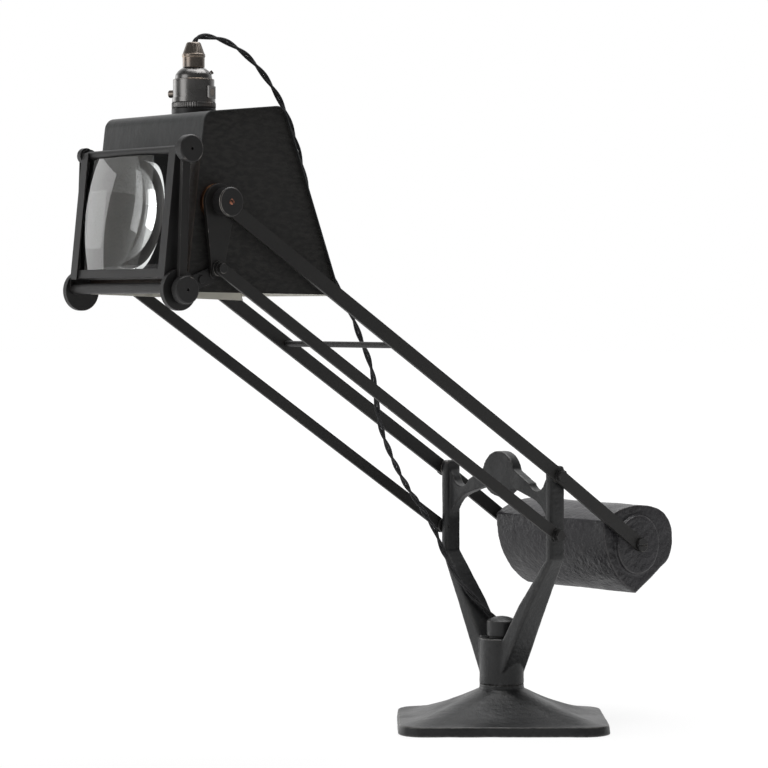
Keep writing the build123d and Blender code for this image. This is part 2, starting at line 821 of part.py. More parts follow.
with BuildPart() as frame_side_left:
    mirror(frame_side_right.part, about=Plane.YZ)
keep(frame_side_left.part, "frame_side_left")

between_webs = frame_half_width - frame_wall
for label, height, radius in (
    ("frame_top_tube", top_tube_height, top_tube_radius),
    ("frame_bottom_tube", bottom_tube_height, bottom_tube_radius),
):
    place = lens_plane(-tube_set_back).from_local_coords((0, height, 0))
    with BuildPart() as frame_tube:
        with BuildSketch(side_plane(-between_webs)):
            with Locations((place.Y, place.Z)):
                Circle(radius)
        extrude(amount=2 * between_webs)
    keep(frame_tube.part, label)

with BuildPart() as frame_bottom_rail:
    with BuildSketch(lens_plane(-frame_wall)):
        with Locations((0, (rail_foot + glass_foot) / 2)):
            Rectangle(2 * between_webs, glass_foot - rail_foot)
    extrude(amount=-frame_depth + 2 * frame_wall)
keep(frame_bottom_rail.part, "frame_bottom_rail")

# Lens: two spherical faces, cut to the frame from a round blank
lens_sag = lens_curve - math.sqrt(lens_curve**2 - lens_radius**2)
lens_half = lens_rim / 2 + lens_sag
glass_height = glass_head - glass_foot
lens_middle = lens_plane(-frame_depth / 2)
lens_middle = lens_middle.shift_origin(lens_middle.from_local_coords((0, (glass_foot + glass_head) / 2, 0)))
with BuildPart() as lens_glass:
    with BuildSketch(lens_middle):
        Circle(lens_radius)
        Rectangle(2 * lens_half_width, glass_height, mode=Mode.INTERSECT)
    extrude(amount=lens_half + lens_rim, both=True)
    for side in (-1, 1):
        ball_centre = lens_middle.from_local_coords((0, 0, side * (lens_half - lens_curve)))
        with Locations(ball_centre):
            Sphere(lens_curve, mode=Mode.INTERSECT)
keep(lens_glass.part, "lens_glass")

# Lampholder, from the sloping seat on the housing up to the cord grip
holder_axis = Plane.XY.shift_origin((0, holder_y, 0))


def ring_at(height, outer, inner=0.0):
    """A disc or ring on the lampholder's axis."""
    with BuildSketch(holder_axis.offset(height)) as ring:
        Circle(outer)
        if inner:
            Circle(inner, mode=Mode.SUBTRACT)
    return ring.sketch


def half_profile(points):
    """A closed profile of (radius, height) beside the lampholder's axis."""
    with BuildSketch(Plane.XZ.offset(-holder_y)) as profile:
        with BuildLine():
            Polyline(*points, close=True)
        make_face()
    return profile.sketch


bulb_axis = Axis((0, holder_y, 0), (0, 0, 1))


top_slope = math.atan2(rear_top[1] - front_top[1], rear_top[0] - front_top[0])
housing_top = Plane(
    origin=(0, *front_top), x_dir=(1, 0, 0), z_dir=(0, -math.sin(top_slope), math.cos(top_slope))
)
with BuildPart() as holder_gasket:
    extrude(ring_at(holder_seat - 8, ring_radius, skirt_radius), amount=8)
    split(bisect_by=housing_top, keep=Keep.TOP)
keep(holder_gasket.part, "holder_gasket")

with BuildPart() as shade_ring:
    extrude(ring_at(holder_seat, ring_radius, skirt_radius), amount=ring_height)
keep(shade_ring.part, "shade_ring")

rib_foot = holder_seat + ring_height
body_foot = rib_foot + rib_height
with BuildPart() as holder_skirt:
    extrude(ring_at(skirt_foot, skirt_radius, skirt_radius - skirt_wall), amount=body_foot - skirt_foot)
    with BuildSketch(Plane.XZ.offset(-holder_y)):
        with Locations((0, (skirt_foot + bulb_pin_height) / 2)):
            Rectangle(bulb_slot_width, bulb_pin_height - skirt_foot + bulb_slot_width)
    extrude(amount=skirt_radius + 1, both=True, mode=Mode.SUBTRACT)
keep(holder_skirt.part, "holder_skirt")



def switch_plane(distance):
    """The plane across the switch bar at a distance from the lampholder's axis."""
    turn = math.radians(switch_turn)
    way = (math.cos(turn), math.sin(turn))
    return Plane(
        origin=(distance * way[0], holder_y + distance * way[1], switch_height),
        x_dir=(-way[1], way[0], 0),
        z_dir=(way[0], way[1], 0),
    )


with BuildPart() as holder_body:
    extrude(ring_at(rib_foot, rib_radius, skirt_radius), amount=rib_height)
    extrude(ring_at(body_foot, body_radius, body_radius - body_wall), amount=body_top - body_foot)
    with BuildSketch(switch_plane(body_radius - body_wall)):
        Rectangle(switch_plate[1], switch_plate[2])
    extrude(amount=switch_plate[0])
    with BuildSketch(switch_plane(0)):
        Circle(switch_radius + switch_clearance)
    extrude(amount=rib_radius + 2, both=True, mode=Mode.SUBTRACT)
keep(holder_body.part, "holder_body")

with BuildPart() as holder_insulator:
    extrude(ring_at(insulator_foot, insulator_radius), amount=insulator_height)
    with BuildSketch(holder_axis.offset(insulator_foot)):
        with PolarLocations(plunger_spacing / 2, 2, start_angle=switch_turn + 90):
            Circle(plunger_radius)
    extrude(amount=insulator_height, mode=Mode.SUBTRACT)
    insulator_top = insulator_foot + insulator_height
    extrude(ring_at(insulator_top, body_radius - body_wall), amount=body_top - insulator_top)
keep(holder_insulator.part, "holder_insulator")

with BuildPart() as contact_plungers:
    with BuildSketch(holder_axis.offset(contact_height)):
        with PolarLocations(plunger_spacing / 2, 2, start_angle=switch_turn + 90):
            Circle(plunger_radius)
    extrude(amount=insulator_foot + insulator_height - contact_height)
keep(contact_plungers.part, "contact_plungers")

switch_near = body_radius - body_wall + switch_plate[0]
with BuildPart() as switch_bar:
    with BuildSketch(switch_plane(-switch_reach)):
        Circle(switch_radius)
    extrude(amount=switch_reach + switch_near)
keep(switch_bar.part, "switch_bar")

dome_wall = 1.2
with BuildPart() as holder_dome:
    dome_profile = half_profile([
        (body_radius, body_top),
        (body_radius, body_top + 0.9),
        (dome_radius, body_top + 1.2),
        (dome_radius - 0.6, body_top + 5.0),
        (dome_radius - 2.6, body_top + 8.0),
        (dome_radius - 5.6, body_top + 10.4),
        (dome_neck_radius, dome_top - 0.3),
        (dome_neck_radius, dome_top),
        (dome_neck_radius - 2, dome_top),
        (dome_neck_radius - 2, body_top + 9.6),
        (dome_radius - 5.6, body_top + 8.8),
        (dome_radius - 3.8, body_top + 7.0),
        (dome_radius - 1.8, body_top + 4.6),
        (dome_radius - dome_wall, body_top),
    ])
    revolve(dome_profile, axis=bulb_axis)
keep(holder_dome.part, "holder_dome")

screw_direction = (math.sin(math.radians(41)), math.cos(math.radians(41)))
screw_away = dome_radius - dome_screw_inset
screw_plane = Plane(
    origin=(
        screw_away * screw_direction[0],
        holder_y + screw_away * screw_direction[1],
        body_top + dome_screw_rise,
    ),
    z_dir=(screw_direction[0], screw_direction[1], 0.7),
)
with BuildPart() as dome_screw:
    with BuildSketch(screw_plane):
        Circle(dome_screw_radius)
    extrude(amount=dome_screw_length)
keep(dome_screw.part, "dome_screw")

cord_radius = cord_diameter / 2
grip_bore = cord_radius + grip_bore_clearance
with BuildPart() as cord_grip:
    grip_profile = half_profile([
        (dome_neck_radius, dome_top),
        (grip_radius, dome_top),
        (grip_radius, dome_top + grip_height),
        (grip_rim_radius, dome_top + grip_height + 0.6),
        (grip_rim_radius, dome_top + grip_height + grip_rim_height - 0.6),
        (grip_radius, dome_top + grip_height + grip_rim_height),
        (grip_tip_radius, grip_top - 0.8),
        (grip_tip_radius - 0.8, grip_top),
        (grip_bore, grip_top),
        (grip_bore, cord_start),
        (0, cord_start),
        (0, dome_top),
    ])
    revolve(grip_profile, axis=bulb_axis)
keep(cord_grip.part, "cord_grip")

# Bulb: bayonet cap with its two pins, and the glass
bulb_cap_foot = contact_height - bulb_cap_length
with BuildPart() as bulb_cap:
    extrude(ring_at(bulb_cap_foot, bulb_cap_radius), amount=bulb_cap_length)
    with BuildSketch(Plane.XZ.offset(-holder_y)):
        with Locations((0, bulb_pin_height)):
            Circle(bulb_pin_radius)
    extrude(amount=bulb_pin_reach, both=True)
keep(bulb_cap.part, "bulb_cap")


def bulb_profile(inset):
    """Half of the bulb's outline, moved in by a distance."""
    neck = bulb_cap_radius - 1.2 - inset
    ball = bulb_radius - inset
    centre = bulb_bottom + bulb_radius
    rise = bulb_cap_foot - centre
    flare = (neck**2 + rise**2 - ball**2) / (2 * (ball - neck))
    angle = math.atan2(rise, neck + flare)
    halfway = (angle - math.pi / 2) / 2
    join = (ball * math.cos(angle), centre + ball * math.sin(angle))
    with BuildSketch(Plane.XZ.offset(-holder_y)) as profile:
        with BuildLine():
            Line((0, bulb_cap_foot), (neck, bulb_cap_foot))
            TangentArc((neck, bulb_cap_foot), join, tangent=(0, -1))
            ThreePointArc(
                join, (ball * math.cos(halfway), centre + ball * math.sin(halfway)), (0, centre - ball)
            )
            Line((0, centre - ball), (0, bulb_cap_foot))
        make_face()
    return profile.sketch


with BuildPart() as bulb_glass:
    revolve(bulb_profile(0), axis=bulb_axis)
    revolve(bulb_profile(bulb_wall), axis=bulb_axis, mode=Mode.SUBTRACT)
keep(bulb_glass.part, "bulb_glass")

# The cord's route from the grip to the coil behind the base
away = (-math.cos(math.radians(90 - base_turn)), math.sin(math.radians(90 - base_turn)))
across = (math.cos(math.radians(base_turn)), math.sin(math.radians(base_turn)))


def behind(distance, sideways, height):
    """A point behind the base, as a distance from the axis and a distance sideways."""
    return (
        distance * away[0] + sideways * across[0],
        distance * away[1] + sideways * across[1],
        height,
    )


coil_outer_radius = coil_middle_radius + coil_pitch * (coil_turns - 1) / 2
upper_layer = cord_radius + coil_pitch
route = [
    (0.0, holder_y, cord_start),
    (0.0, holder_y, 642.8),
    (0.0, -359.0, 646.2),
    (0.0, -340.0, 643.6),
    (0.0, -316.0, 632.6),
    (0.0, -292.0, 613.6),
    (0.0, -270.0, 587.0),
    (0.0, -251.5, 552.0),
    (0.0, -236.0, 508.0),
    (0.0, -221.0, 464.0),
    (0.0, -205.5, 428.0),
    (-1.0, -187.5, 403.0),
    (-3.0, -177.5, 378.0),
    (-7.0, -159.0, 350.0),
    (-13.0, -149.0, 320.0),
    (-21.0, -137.5, 294.0),
    (-33.0, -114.0, 266.0),
    (-46.0, -84.0, 236.0),
    (-58.0, -53.0, 212.0),
    (-66.0, -36.0, 198.5),
    (-71.5, -22.0, 187.0),
    (-71.0, -16.5, 173.5),
    (-62.5, -15.5, 160.0),
    (-52.0, -15.5, 147.0),
    (-42.5, -13.5, 135.5),
    (-33.5, -7.0, 124.0),
    (-27.0, 0.5, 113.0),
    (-21.0, 8.0, 103.5),
    (-16.5, 15.5, 96.5),
    (-16.0, 23.5, 88.0),
    (-19.5, 28.5, 76.0),
    (-23.5, 32.0, 61.0),
    (-28.0, 37.0, 46.0),
    behind(56.0, 15.0, 34.0),
    behind(68.0, 23.0, 24.5),
    behind(81.0, 30.0, 16.0),
    behind(94.0, coil_outer_radius, upper_layer),
    behind(coil_away - cord_diameter, coil_outer_radius, upper_layer),
]
stretches = {
    "cord_from_holder": (0, 8),
    "cord_behind_head": (8, 12),
    "cord_beside_arms": (12, 19),
    "cord_down_yoke": (19, len(route) - 1),
}
cord_lengths = {}


def bend_radii(points):
    """An arc for each inner point: 0.45 of its shorter run over the tangent of half its turn."""
    vectors = [Vector(*p) for p in points]
    runs = [b - a for a, b in zip(vectors, vectors[1:])]
    return [
        0.45 * min(a.length, b.length) / math.tan(math.radians(a.get_angle(b)) / 2)
        for a, b in zip(runs, runs[1:])
    ]


def cord_tube(label, points, radii):
    """A tube along straight runs joined by tangent arcs."""
    with BuildPart() as tube:
        with BuildLine() as path:
            FilletPolyline(*points, radius=radii)
        with BuildSketch(Plane(origin=path.wire() @ 0, z_dir=path.wire() % 0)):
            Circle(cord_radius)
        sweep()
    cord_lengths[label] = path.wire().length
    expected = math.pi * cord_radius**2 * path.wire().length
    print(label, "length", round(path.wire().length, 1), "radii", [round(r, 1) for r in radii])
    print("  volume over section times length", round(tube.part.volume / expected, 4))
    keep(tube.part, label)


route_radii = bend_radii(route)
for label, (first, last) in stretches.items():
    inner = route[first + 1 : last + 1] if last < len(route) - 1 else route[first + 1 : last]
    start = route[first] if first == 0 else middle(route[first], route[first + 1])
    end = route[last] if last == len(route) - 1 else middle(route[last], route[last + 1])
    cord_tube(label, [start, *inner, end], route_radii[first : first + len(inner)])

# Coil: the upper layer winds in, half a turn drops to the floor, and the lower layer winds out
drop_start = 4 * coil_turns - 2
drop_end = drop_start + 2
last_quarter = drop_end + 4 * (coil_turns - 1)
coil_end = last_quarter + coil_end_turn / 90


def coil_place(quarters):
    """Centre of the cord after a number of quarter turns from the coil's start."""
    reversal = drop_start + 1
    turned_in = quarters if quarters < reversal else 2 * reversal - quarters
    radius = coil_outer_radius - coil_pitch * turned_in / 4
    share = min(max((quarters - drop_start) / (drop_end - drop_start), 0.0), 1.0)
    height = upper_layer - coil_pitch * share * share * (3 - 2 * share)
    turn = quarters * math.pi / 2
    return behind(coil_away + radius * math.sin(turn), radius * math.cos(turn), height)


def coil_heading(quarters):
    """Direction of the cord there."""
    step = 0.01
    back, front = coil_place(quarters - step), coil_place(quarters + step)
    if quarters == 0:
        return Vector(away[0], away[1], 0)
    return (Vector(*front) - Vector(*back)).normalized()


def biarc(start, start_way, end, end_way):
    """Two tangent arcs from one point and direction to another."""
    chord = end - start
    ways = start_way + end_way
    turn = 2 * (1 - start_way.dot(end_way))
    along = chord.dot(ways)
    reach = (math.sqrt(along**2 + turn * chord.dot(chord)) - along) / turn
    joint = (start + end + (start_way - end_way) * reach) / 2
    TangentArc(start, joint, tangent=start_way)
    TangentArc(joint, end, tangent=end - end_way * reach - start - start_way * reach)


with BuildPart() as cord_coil:
    with BuildLine() as coil_path:
        Line(route[-1], coil_place(0))
        stations = [*range(last_quarter + 1), coil_end]
        for here, there in zip(stations, stations[1:]):
            biarc(
                Vector(*coil_place(here)), coil_heading(here), Vector(*coil_place(there)), coil_heading(there)
            )
        last_way = coil_heading(coil_end)
        coil_exit = Vector(*coil_place(coil_end)) + last_way * cord_diameter
        Line(coil_place(coil_end), coil_exit)
    with BuildSketch(Plane(origin=coil_path.wire() @ 0, z_dir=coil_path.wire() % 0)):
        Circle(cord_radius)
    sweep()
cord_lengths["cord_coil"] = coil_path.wire().length
keep(cord_coil.part, "cord_coil")
coil_steps = 900
coil_points = np.array([tuple(coil_path.wire() @ (i / coil_steps)) for i in range(coil_steps + 1)])
coil_gaps = np.linalg.norm(coil_points[:, None] - coil_points[None], axis=2)
step_length = cord_lengths["cord_coil"] / coil_steps
counts = np.arange(coil_steps + 1)
apart = np.abs(np.subtract.outer(counts, counts)) * step_length
least_gap = coil_gaps[apart > 4 * cord_diameter].min() - cord_diameter
print("cord_coil length", round(cord_lengths["cord_coil"], 1), "least gap to itself", round(least_gap, 2))

# Tail: from the coil up into the plug, which lies on its side behind the coil
plug_front = behind(223.0, plug_aside, plug_radius)
tail = [
    tuple(coil_exit),
    tuple(coil_exit + last_way * 9),
    behind(165.0, 11.5, 5.5),
    behind(184.0, 10.5, 11.0),
    behind(204.0, plug_aside, plug_radius),
    plug_front,
]
cord_tube("cord_tail", tail, bend_radii(tail))
print("cord in all", round(sum(cord_lengths.values())), "mm")

plug_plane = Plane(origin=plug_front, z_dir=(away[0], away[1], 0))
with BuildPart() as plug_body:
    with BuildSketch(plug_plane):
        Circle(plug_neck_radius)
    with BuildSketch(plug_plane.offset(plug_neck)):
        Circle(plug_radius)
    loft()
    with BuildSketch(plug_plane.offset(plug_neck)):
        Circle(plug_radius)
    extrude(amount=plug_length)
    chamfer(plug_body.faces().sort_by(Axis((0, 0, 0), (*away, 0)))[-1].edges(), 1.5)
keep(plug_body.part, "plug_body")

pin_plane = plug_plane.offset(plug_neck + plug_length)
with BuildPart() as plug_pins:
    with BuildSketch(pin_plane):
        with GridLocations(pin_spacing, 1, 2, 1):
            Circle(pin_radius)
    extrude(amount=pin_length)
keep(plug_pins.part, "plug_pins")
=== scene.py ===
"""Looks for a counterbalanced magnifier lamp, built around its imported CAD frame."""

import json
import math

import bmesh
import bpy
import numpy as np
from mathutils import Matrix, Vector


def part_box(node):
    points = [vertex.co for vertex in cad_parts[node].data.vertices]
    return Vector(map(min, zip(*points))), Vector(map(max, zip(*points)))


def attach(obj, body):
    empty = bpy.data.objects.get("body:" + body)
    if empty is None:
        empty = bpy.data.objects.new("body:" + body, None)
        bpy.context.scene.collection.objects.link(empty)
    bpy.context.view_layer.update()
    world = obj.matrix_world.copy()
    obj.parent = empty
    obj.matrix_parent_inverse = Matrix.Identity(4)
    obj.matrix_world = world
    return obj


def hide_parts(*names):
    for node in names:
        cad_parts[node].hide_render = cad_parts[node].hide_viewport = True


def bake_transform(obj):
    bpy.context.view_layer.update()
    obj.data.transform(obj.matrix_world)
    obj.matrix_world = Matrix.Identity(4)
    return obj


bl_info = {
    "name": "Magnifier Lamp Finish",
    "version": (1, 0, 0),
    "blender": (4, 5, 0),
    "location": "View3D > Sidebar > Magnifier Lamp",
    "description": "Castings, sheet metal, lens, lampholder and flex of a counterbalanced magnifier lamp",
    "category": "Object",
}

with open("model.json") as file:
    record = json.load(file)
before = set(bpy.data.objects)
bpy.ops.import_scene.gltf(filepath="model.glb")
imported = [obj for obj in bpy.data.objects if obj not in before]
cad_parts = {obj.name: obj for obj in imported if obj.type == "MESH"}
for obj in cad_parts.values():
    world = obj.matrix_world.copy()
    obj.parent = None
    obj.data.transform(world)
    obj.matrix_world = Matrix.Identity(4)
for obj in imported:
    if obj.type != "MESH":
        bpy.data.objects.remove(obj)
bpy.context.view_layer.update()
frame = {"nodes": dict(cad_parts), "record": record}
nodes = frame["nodes"]
record = frame["record"]
body_of_node = {node: body for body, members in record["behaviour"]["bodies"].items() for node in members}
slot_of_node = {row["node"]: row["material_slot"] for row in record["subparts"]}
cord_diameter = 0.0055
frame_lean = math.radians(6.7)


# Settings that a user would change

def colour_setting(name, description, default):
    """A colour as it is written in a material, in linear light."""
    return bpy.props.FloatVectorProperty(
        name=name, description=description, default=default, size=3, min=0.0, max=1.0, subtype="COLOR"
    )


def length_setting(name, description, default):
    return bpy.props.FloatProperty(
        name=name, description=description, default=default, min=0.0, precision=5, unit="LENGTH"
    )


def plain_setting(name, description, default):
    return bpy.props.FloatProperty(name=name, description=description, default=default, min=0.0)


class LampColours(bpy.types.PropertyGroup):
    """Colours of the finishes."""

    casting: colour_setting("Casting paint", "Worn black paint of the castings", (0.0135, 0.0139, 0.0145))
    weight: colour_setting("Weight", "Bare rough iron of the counterweight", (0.0220, 0.0208, 0.0240))
    bar: colour_setting("Bars", "Blackened steel of the arms", (0.0130, 0.0122, 0.0115))
    front: colour_setting("Wrapper", "Dark paint on the housing's bent sheet", (0.036, 0.0372, 0.0375))
    panel: colour_setting("Side panels", "Crackled black paint of the sides", (0.0095, 0.0088, 0.0078))
    inside: colour_setting("Inside", "Cream paint inside the housing", (0.74, 0.72, 0.64))
    hardware: colour_setting("Hardware", "Blackened knobs, bolts and links", (0.0125, 0.0120, 0.0120))
    steel: colour_setting("Worn steel", "Metal that shows through at the edges", (0.30, 0.28, 0.26))
    bronze: colour_setting("Lampholder", "Dark antique bronze", (0.17, 0.148, 0.130))
    gunmetal: colour_setting("Gunmetal", "Darkened brass of the holder's body", (0.15, 0.146, 0.143))
    brass: colour_setting("Brass", "Aged brass of the friction discs and pins", (0.30, 0.145, 0.075))
    copper: colour_setting("Screws", "Coppery screws in the head's knobs", (0.34, 0.14, 0.090))
    cloth: colour_setting("Flex", "Black braided cotton", (0.014, 0.014, 0.015))
    felt: colour_setting("Felt", "Felt under the base", (0.030, 0.040, 0.028))
    plug: colour_setting("Plug", "Dark moulded plug", (0.016, 0.011, 0.009))


class LampSizes(bpy.types.PropertyGroup):
    """Sizes of what the finish adds to the frame."""

    casting_grid: length_setting("Casting grid", "Cell size of a casting's surface", 0.0010)
    casting_lumps: length_setting("Casting lumps", "Height of the waves left by the sand mould", 0.00010)
    weight_lumps: length_setting("Weight lumps", "Height of the waves on the counterweight", 0.00022)
    bar_edge: length_setting("Bar edges", "Rounded edge of the flat bars and plates", 0.00045)
    sheet_edge: length_setting("Sheet edges", "Rounded edge of the thin sheets", 0.00028)
    cord: length_setting("Flex", "Outer diameter of the twisted pair", cord_diameter)
    cord_lay: length_setting("Lay", "Length of one whole twist of the pair", 0.052)
    lens_curve: length_setting("Lens curve", "Radius of each face of the lens", 0.320)
    lens_blank: length_setting("Lens blank", "Radius of the round blank that the lens is cut from", 0.0825)
    lens_middle: length_setting("Lens thickness", "Thickness at the middle of the lens", 0.0228)


class LampStudio(bpy.types.PropertyGroup):
    """Light round the lamp."""

    key: plain_setting("Key", "Power of the softbox in front of the lens, in watts", 8.5)
    rim: plain_setting("Rim", "Power of the softbox on the left, in watts", 6.0)
    top: plain_setting("Top", "Power of the softbox overhead, in watts", 27.0)
    fill: plain_setting("Fill", "Strength of the dim side of the room", 0.16)


# Shader maths as Python expressions

class Socket:
    """An output socket; sums, products and powers of it add Math nodes."""

    def __init__(self, shade, output):
        self.shade = shade
        self.output = output

    def maths(self, operation, *values):
        return self.shade.add("Math", {"operation": operation}, dict(enumerate(values)))

    def __add__(self, other):
        return self.maths("ADD", self, other)

    def __radd__(self, other):
        return self.maths("ADD", other, self)

    def __sub__(self, other):
        return self.maths("SUBTRACT", self, other)

    def __rsub__(self, other):
        return self.maths("SUBTRACT", other, self)

    def __mul__(self, other):
        return self.maths("MULTIPLY", self, other)

    def __rmul__(self, other):
        return self.maths("MULTIPLY", other, self)

    def sine(self):
        return self.maths("SINE", self)

    def absolute(self):
        return self.maths("ABSOLUTE", self)

    def at_most_one(self):
        return self.maths("MINIMUM", self, 1.0)

    def steps(self, low, high):
        """Rises smoothly from 0 at low to 1 at high."""
        wanted = {"interpolation_type": "SMOOTHSTEP"}
        return self.shade.add("MapRange", wanted, {"Value": self, "From Min": low, "From Max": high})


class Shade:
    """A material being made, or the world."""

    def __init__(self, tree):
        self.tree = tree
        self.tree.nodes.clear()

    def add(self, kind, settings=None, inputs=None, output=0):
        """Adds a node: its settings first, then the values or links of its sockets."""
        node = self.tree.nodes.new("ShaderNode" + kind)
        for key, value in (settings or {}).items():
            setattr(node, key, value)
        for key, value in (inputs or {}).items():
            if isinstance(value, Socket):
                self.tree.links.new(value.output, node.inputs[key])
            else:
                node.inputs[key].default_value = value
        return Socket(self, node.outputs[output]) if node.outputs else node

    def place(self):
        return self.add("TexCoord", output="Object")

    def along(self, axis, place):
        """One coordinate of a place."""
        return self.add("SeparateXYZ", None, {0: place}, axis)

    def ray(self, quality):
        """What the light path says of the ray that sees this."""
        return self.add("LightPath", output=quality)

    def noise(self, place, size, detail=2.0, rough=0.5, stretch=None):
        """Noise whose blobs are about a size across, in metres."""
        if stretch:
            place = self.add("Mapping", None, {"Vector": place, "Scale": stretch})
        wanted = {"Vector": place, "Scale": 0.6 / size, "Detail": detail, "Roughness": rough}
        return self.add("TexNoise", None, wanted, "Fac")

    def mix(self, share, first, second):
        """A colour between two colours."""
        wanted = {"data_type": "RGBA"}
        inputs = {0: share, 6: self.colour(first), 7: self.colour(second)}
        return self.add("Mix", wanted, inputs, 2)

    @staticmethod
    def colour(value):
        return value if isinstance(value, Socket) else (*value, 1.0)

    def bump(self, height, distance, strength=1.0):
        return self.add("Bump", None, {"Height": height, "Distance": distance, "Strength": strength})

    def surface(self, inputs):
        shader = self.add("BsdfPrincipled", None, inputs)
        self.add("OutputMaterial", None, {"Surface": shader})


def material_maker(values_of):
    """Turns a function that gives a surface's values and links into one that makes its material."""

    def make(name, *settings, **named):
        material = bpy.data.materials.new(name)
        material.use_nodes = True
        shade = Shade(material.node_tree)
        shade.surface(values_of(shade, shade.place(), *settings, **named))
        return material

    return make


def scaled(colour, factor):
    return tuple(min(1.0, channel * factor) for channel in colour)


# Finishes

@material_maker
def cast_finish(shade, place, colour, grain, grain_height, roughness, rust, rubbed_colour):
    """Painted or bare sand casting: fine grain, cloudy patches, painted shade in the hollows and rubbed
    edges.
    """
    cloud = shade.noise(place, 0.030, 4.0).steps(0.35, 0.70)
    sand = shade.noise(place, grain, 3.0, 0.6)
    speck = shade.noise(place, 0.0035, 3.0, 0.65).steps(0.60, 0.74)
    paint = shade.mix(cloud, scaled(colour, 0.80), scaled(colour, 1.28))
    paint = shade.mix(speck * 0.55, paint, scaled(colour, 1.9))
    paint = shade.mix(shade.noise(place, 0.011, 3.0).steps(0.66, 0.80) * rust, paint, (0.060, 0.036, 0.022))
    ridge = shade.add("Attribute", {"attribute_name": "ridge"}, None, "Fac")
    chips = shade.noise(place, 0.010, 5.0, 0.7)
    rubbed = (ridge + 0.55 * chips).steps(0.54, 0.92)
    # Painted shade: the hollows, where ridge falls below 0, are darkened.
    paint = shade.mix((0.0 - ridge).steps(0.10, 0.60) * 0.5, paint, scaled(colour, 0.45))
    paint = shade.mix(rubbed * 0.75, paint, rubbed_colour)
    return {
        "Base Color": paint,
        "Roughness": roughness + 0.16 * cloud - 0.10 * speck - 0.10 * rubbed,
        "Normal": shade.bump(sand, grain_height),
    }


@material_maker
def metal_finish(shade, place, colour, roughness, metallic=0.0, grain_height=0.00006, stretch=None):
    """Blackened or coated metal with brushed grain, smears and a slight warm bloom."""
    smear = shade.noise(place, 0.022, 4.0, 0.6).steps(0.30, 0.72)
    grain = shade.noise(place, 0.0012, 3.0, 0.6, stretch)
    bloom = shade.noise(place, 0.009, 3.0).steps(0.58, 0.78)
    coat = shade.mix(smear, scaled(colour, 0.85), scaled(colour, 1.20))
    coat = shade.mix(bloom * 0.35, coat, (colour[0] * 1.9, colour[1] * 1.55, colour[2] * 1.3))
    return {
        "Base Color": coat,
        "Roughness": roughness + 0.10 * smear - 0.05 * grain,
        "Metallic": metallic,
        "Normal": shade.bump(grain, grain_height),
    }


@material_maker
def edge_finish(shade, place, colour, steel, wear):
    """A rounded edge where handling has rubbed the coat through in places."""
    rubbed = shade.noise(place, 0.014, 5.0, 0.62).steps(0.66 - wear, 0.78 - wear)
    return {
        "Base Color": shade.mix(rubbed, scaled(colour, 1.7), steel),
        "Metallic": rubbed * 0.85,
        "Roughness": 0.46 - 0.12 * rubbed,
    }


@material_maker
def panel_finish(shade, place, colour):
    """Thick black paint that has dried in small soft wrinkles, with worn grey dust in the hollows."""
    wrinkle = shade.noise(place, 0.0032, 2.0, 0.45, (1.0, 0.60, 1.35))
    fine = shade.noise(place, 0.0013, 2.0, 0.5)
    patch = shade.noise(place, 0.035, 3.0).steps(0.35, 0.70)
    paint = shade.mix(wrinkle.steps(0.38, 0.62), scaled(colour, 2.0), scaled(colour, 0.60))
    paint = shade.mix(patch * 0.5, paint, scaled(colour, 1.25))
    return {
        "Base Color": paint,
        "Roughness": 0.60 + 0.12 * wrinkle,
        "Normal": shade.bump(wrinkle + 0.25 * fine, 0.00075),
    }


@material_maker
def wrapper_finish(shade, place, colour, lens_top, front_place):
    """The bent sheet's dark paint, with brushed streaks that run up and down it. Behind the lens the paint
    is a darker brown, a painted shade of the lens, and has fine upright scratches."""
    streak = shade.noise(place, 0.0030, 4.0, 0.6, (1.0, 0.35, 0.35))
    broad = shade.noise(place, 0.024, 3.0).steps(0.32, 0.70)
    orange_peel = shade.noise(place, 0.0016, 2.0)
    paint = shade.mix(streak.steps(0.36, 0.68), scaled(colour, 0.78), scaled(colour, 1.16))
    paint = shade.mix(broad * 0.5, paint, scaled(colour, 1.25))
    above_lens = shade.along("Z", place).steps(lens_top - 0.004, lens_top)
    past_front = shade.along("Y", place).steps(front_place, front_place + 0.006)
    behind_lens = (1 - above_lens) * (1 - past_front)
    # Painted shade: behind the lens the paint is a darker brown; the pale scratches over it are real.
    painted_lens_shade = shade.mix(streak.steps(0.30, 0.75), (0.021, 0.0140, 0.0100), (0.037, 0.0260, 0.0190))
    scratch = shade.noise(place, 0.0011, 2.0, 0.5, (1.0, 0.02, 0.02)).steps(0.72, 0.78)
    paint = shade.mix(behind_lens, paint, shade.mix(scratch * 0.5, painted_lens_shade, (0.14, 0.120, 0.100)))
    return {
        "Base Color": paint,
        "Roughness": 0.44 + 0.12 * broad,
        "Normal": shade.bump(orange_peel + 0.6 * streak, 0.00018),
    }


@material_maker
def enamel_finish(shade, place, colour, outside, unshaded_below, fully_shaded_above, half_width):
    """Cream paint inside with random grime: plain at the mouth, turning dark brown higher up as painted
    shade, and the outside's paint on the lips that stand out past the side panels."""
    grime = shade.noise(place, 0.028, 5.0, 0.6).steps(0.50, 0.80)
    brush = shade.noise(place, 0.0025, 3.0, 0.5, (1.0, 0.3, 0.3))
    # Painted shade: from the mouth upwards the cream darkens to brown.
    shade_rise = (shade.along("Z", place) + 0.02 * grime).steps(unshaded_below, fully_shaded_above)
    cream = shade.mix(grime * 0.6, colour, scaled(colour, 0.62))
    painted_shade_brown = shade.mix(grime, (0.060, 0.048, 0.040), (0.034, 0.027, 0.022))
    past = shade.along("X", place).absolute().steps(half_width - 0.0001, half_width)
    return {
        "Base Color": shade.mix(past, shade.mix(shade_rise, cream, painted_shade_brown), outside),
        "Roughness": 0.46 + 0.2 * grime,
        "Normal": shade.bump(brush, 0.00012),
    }


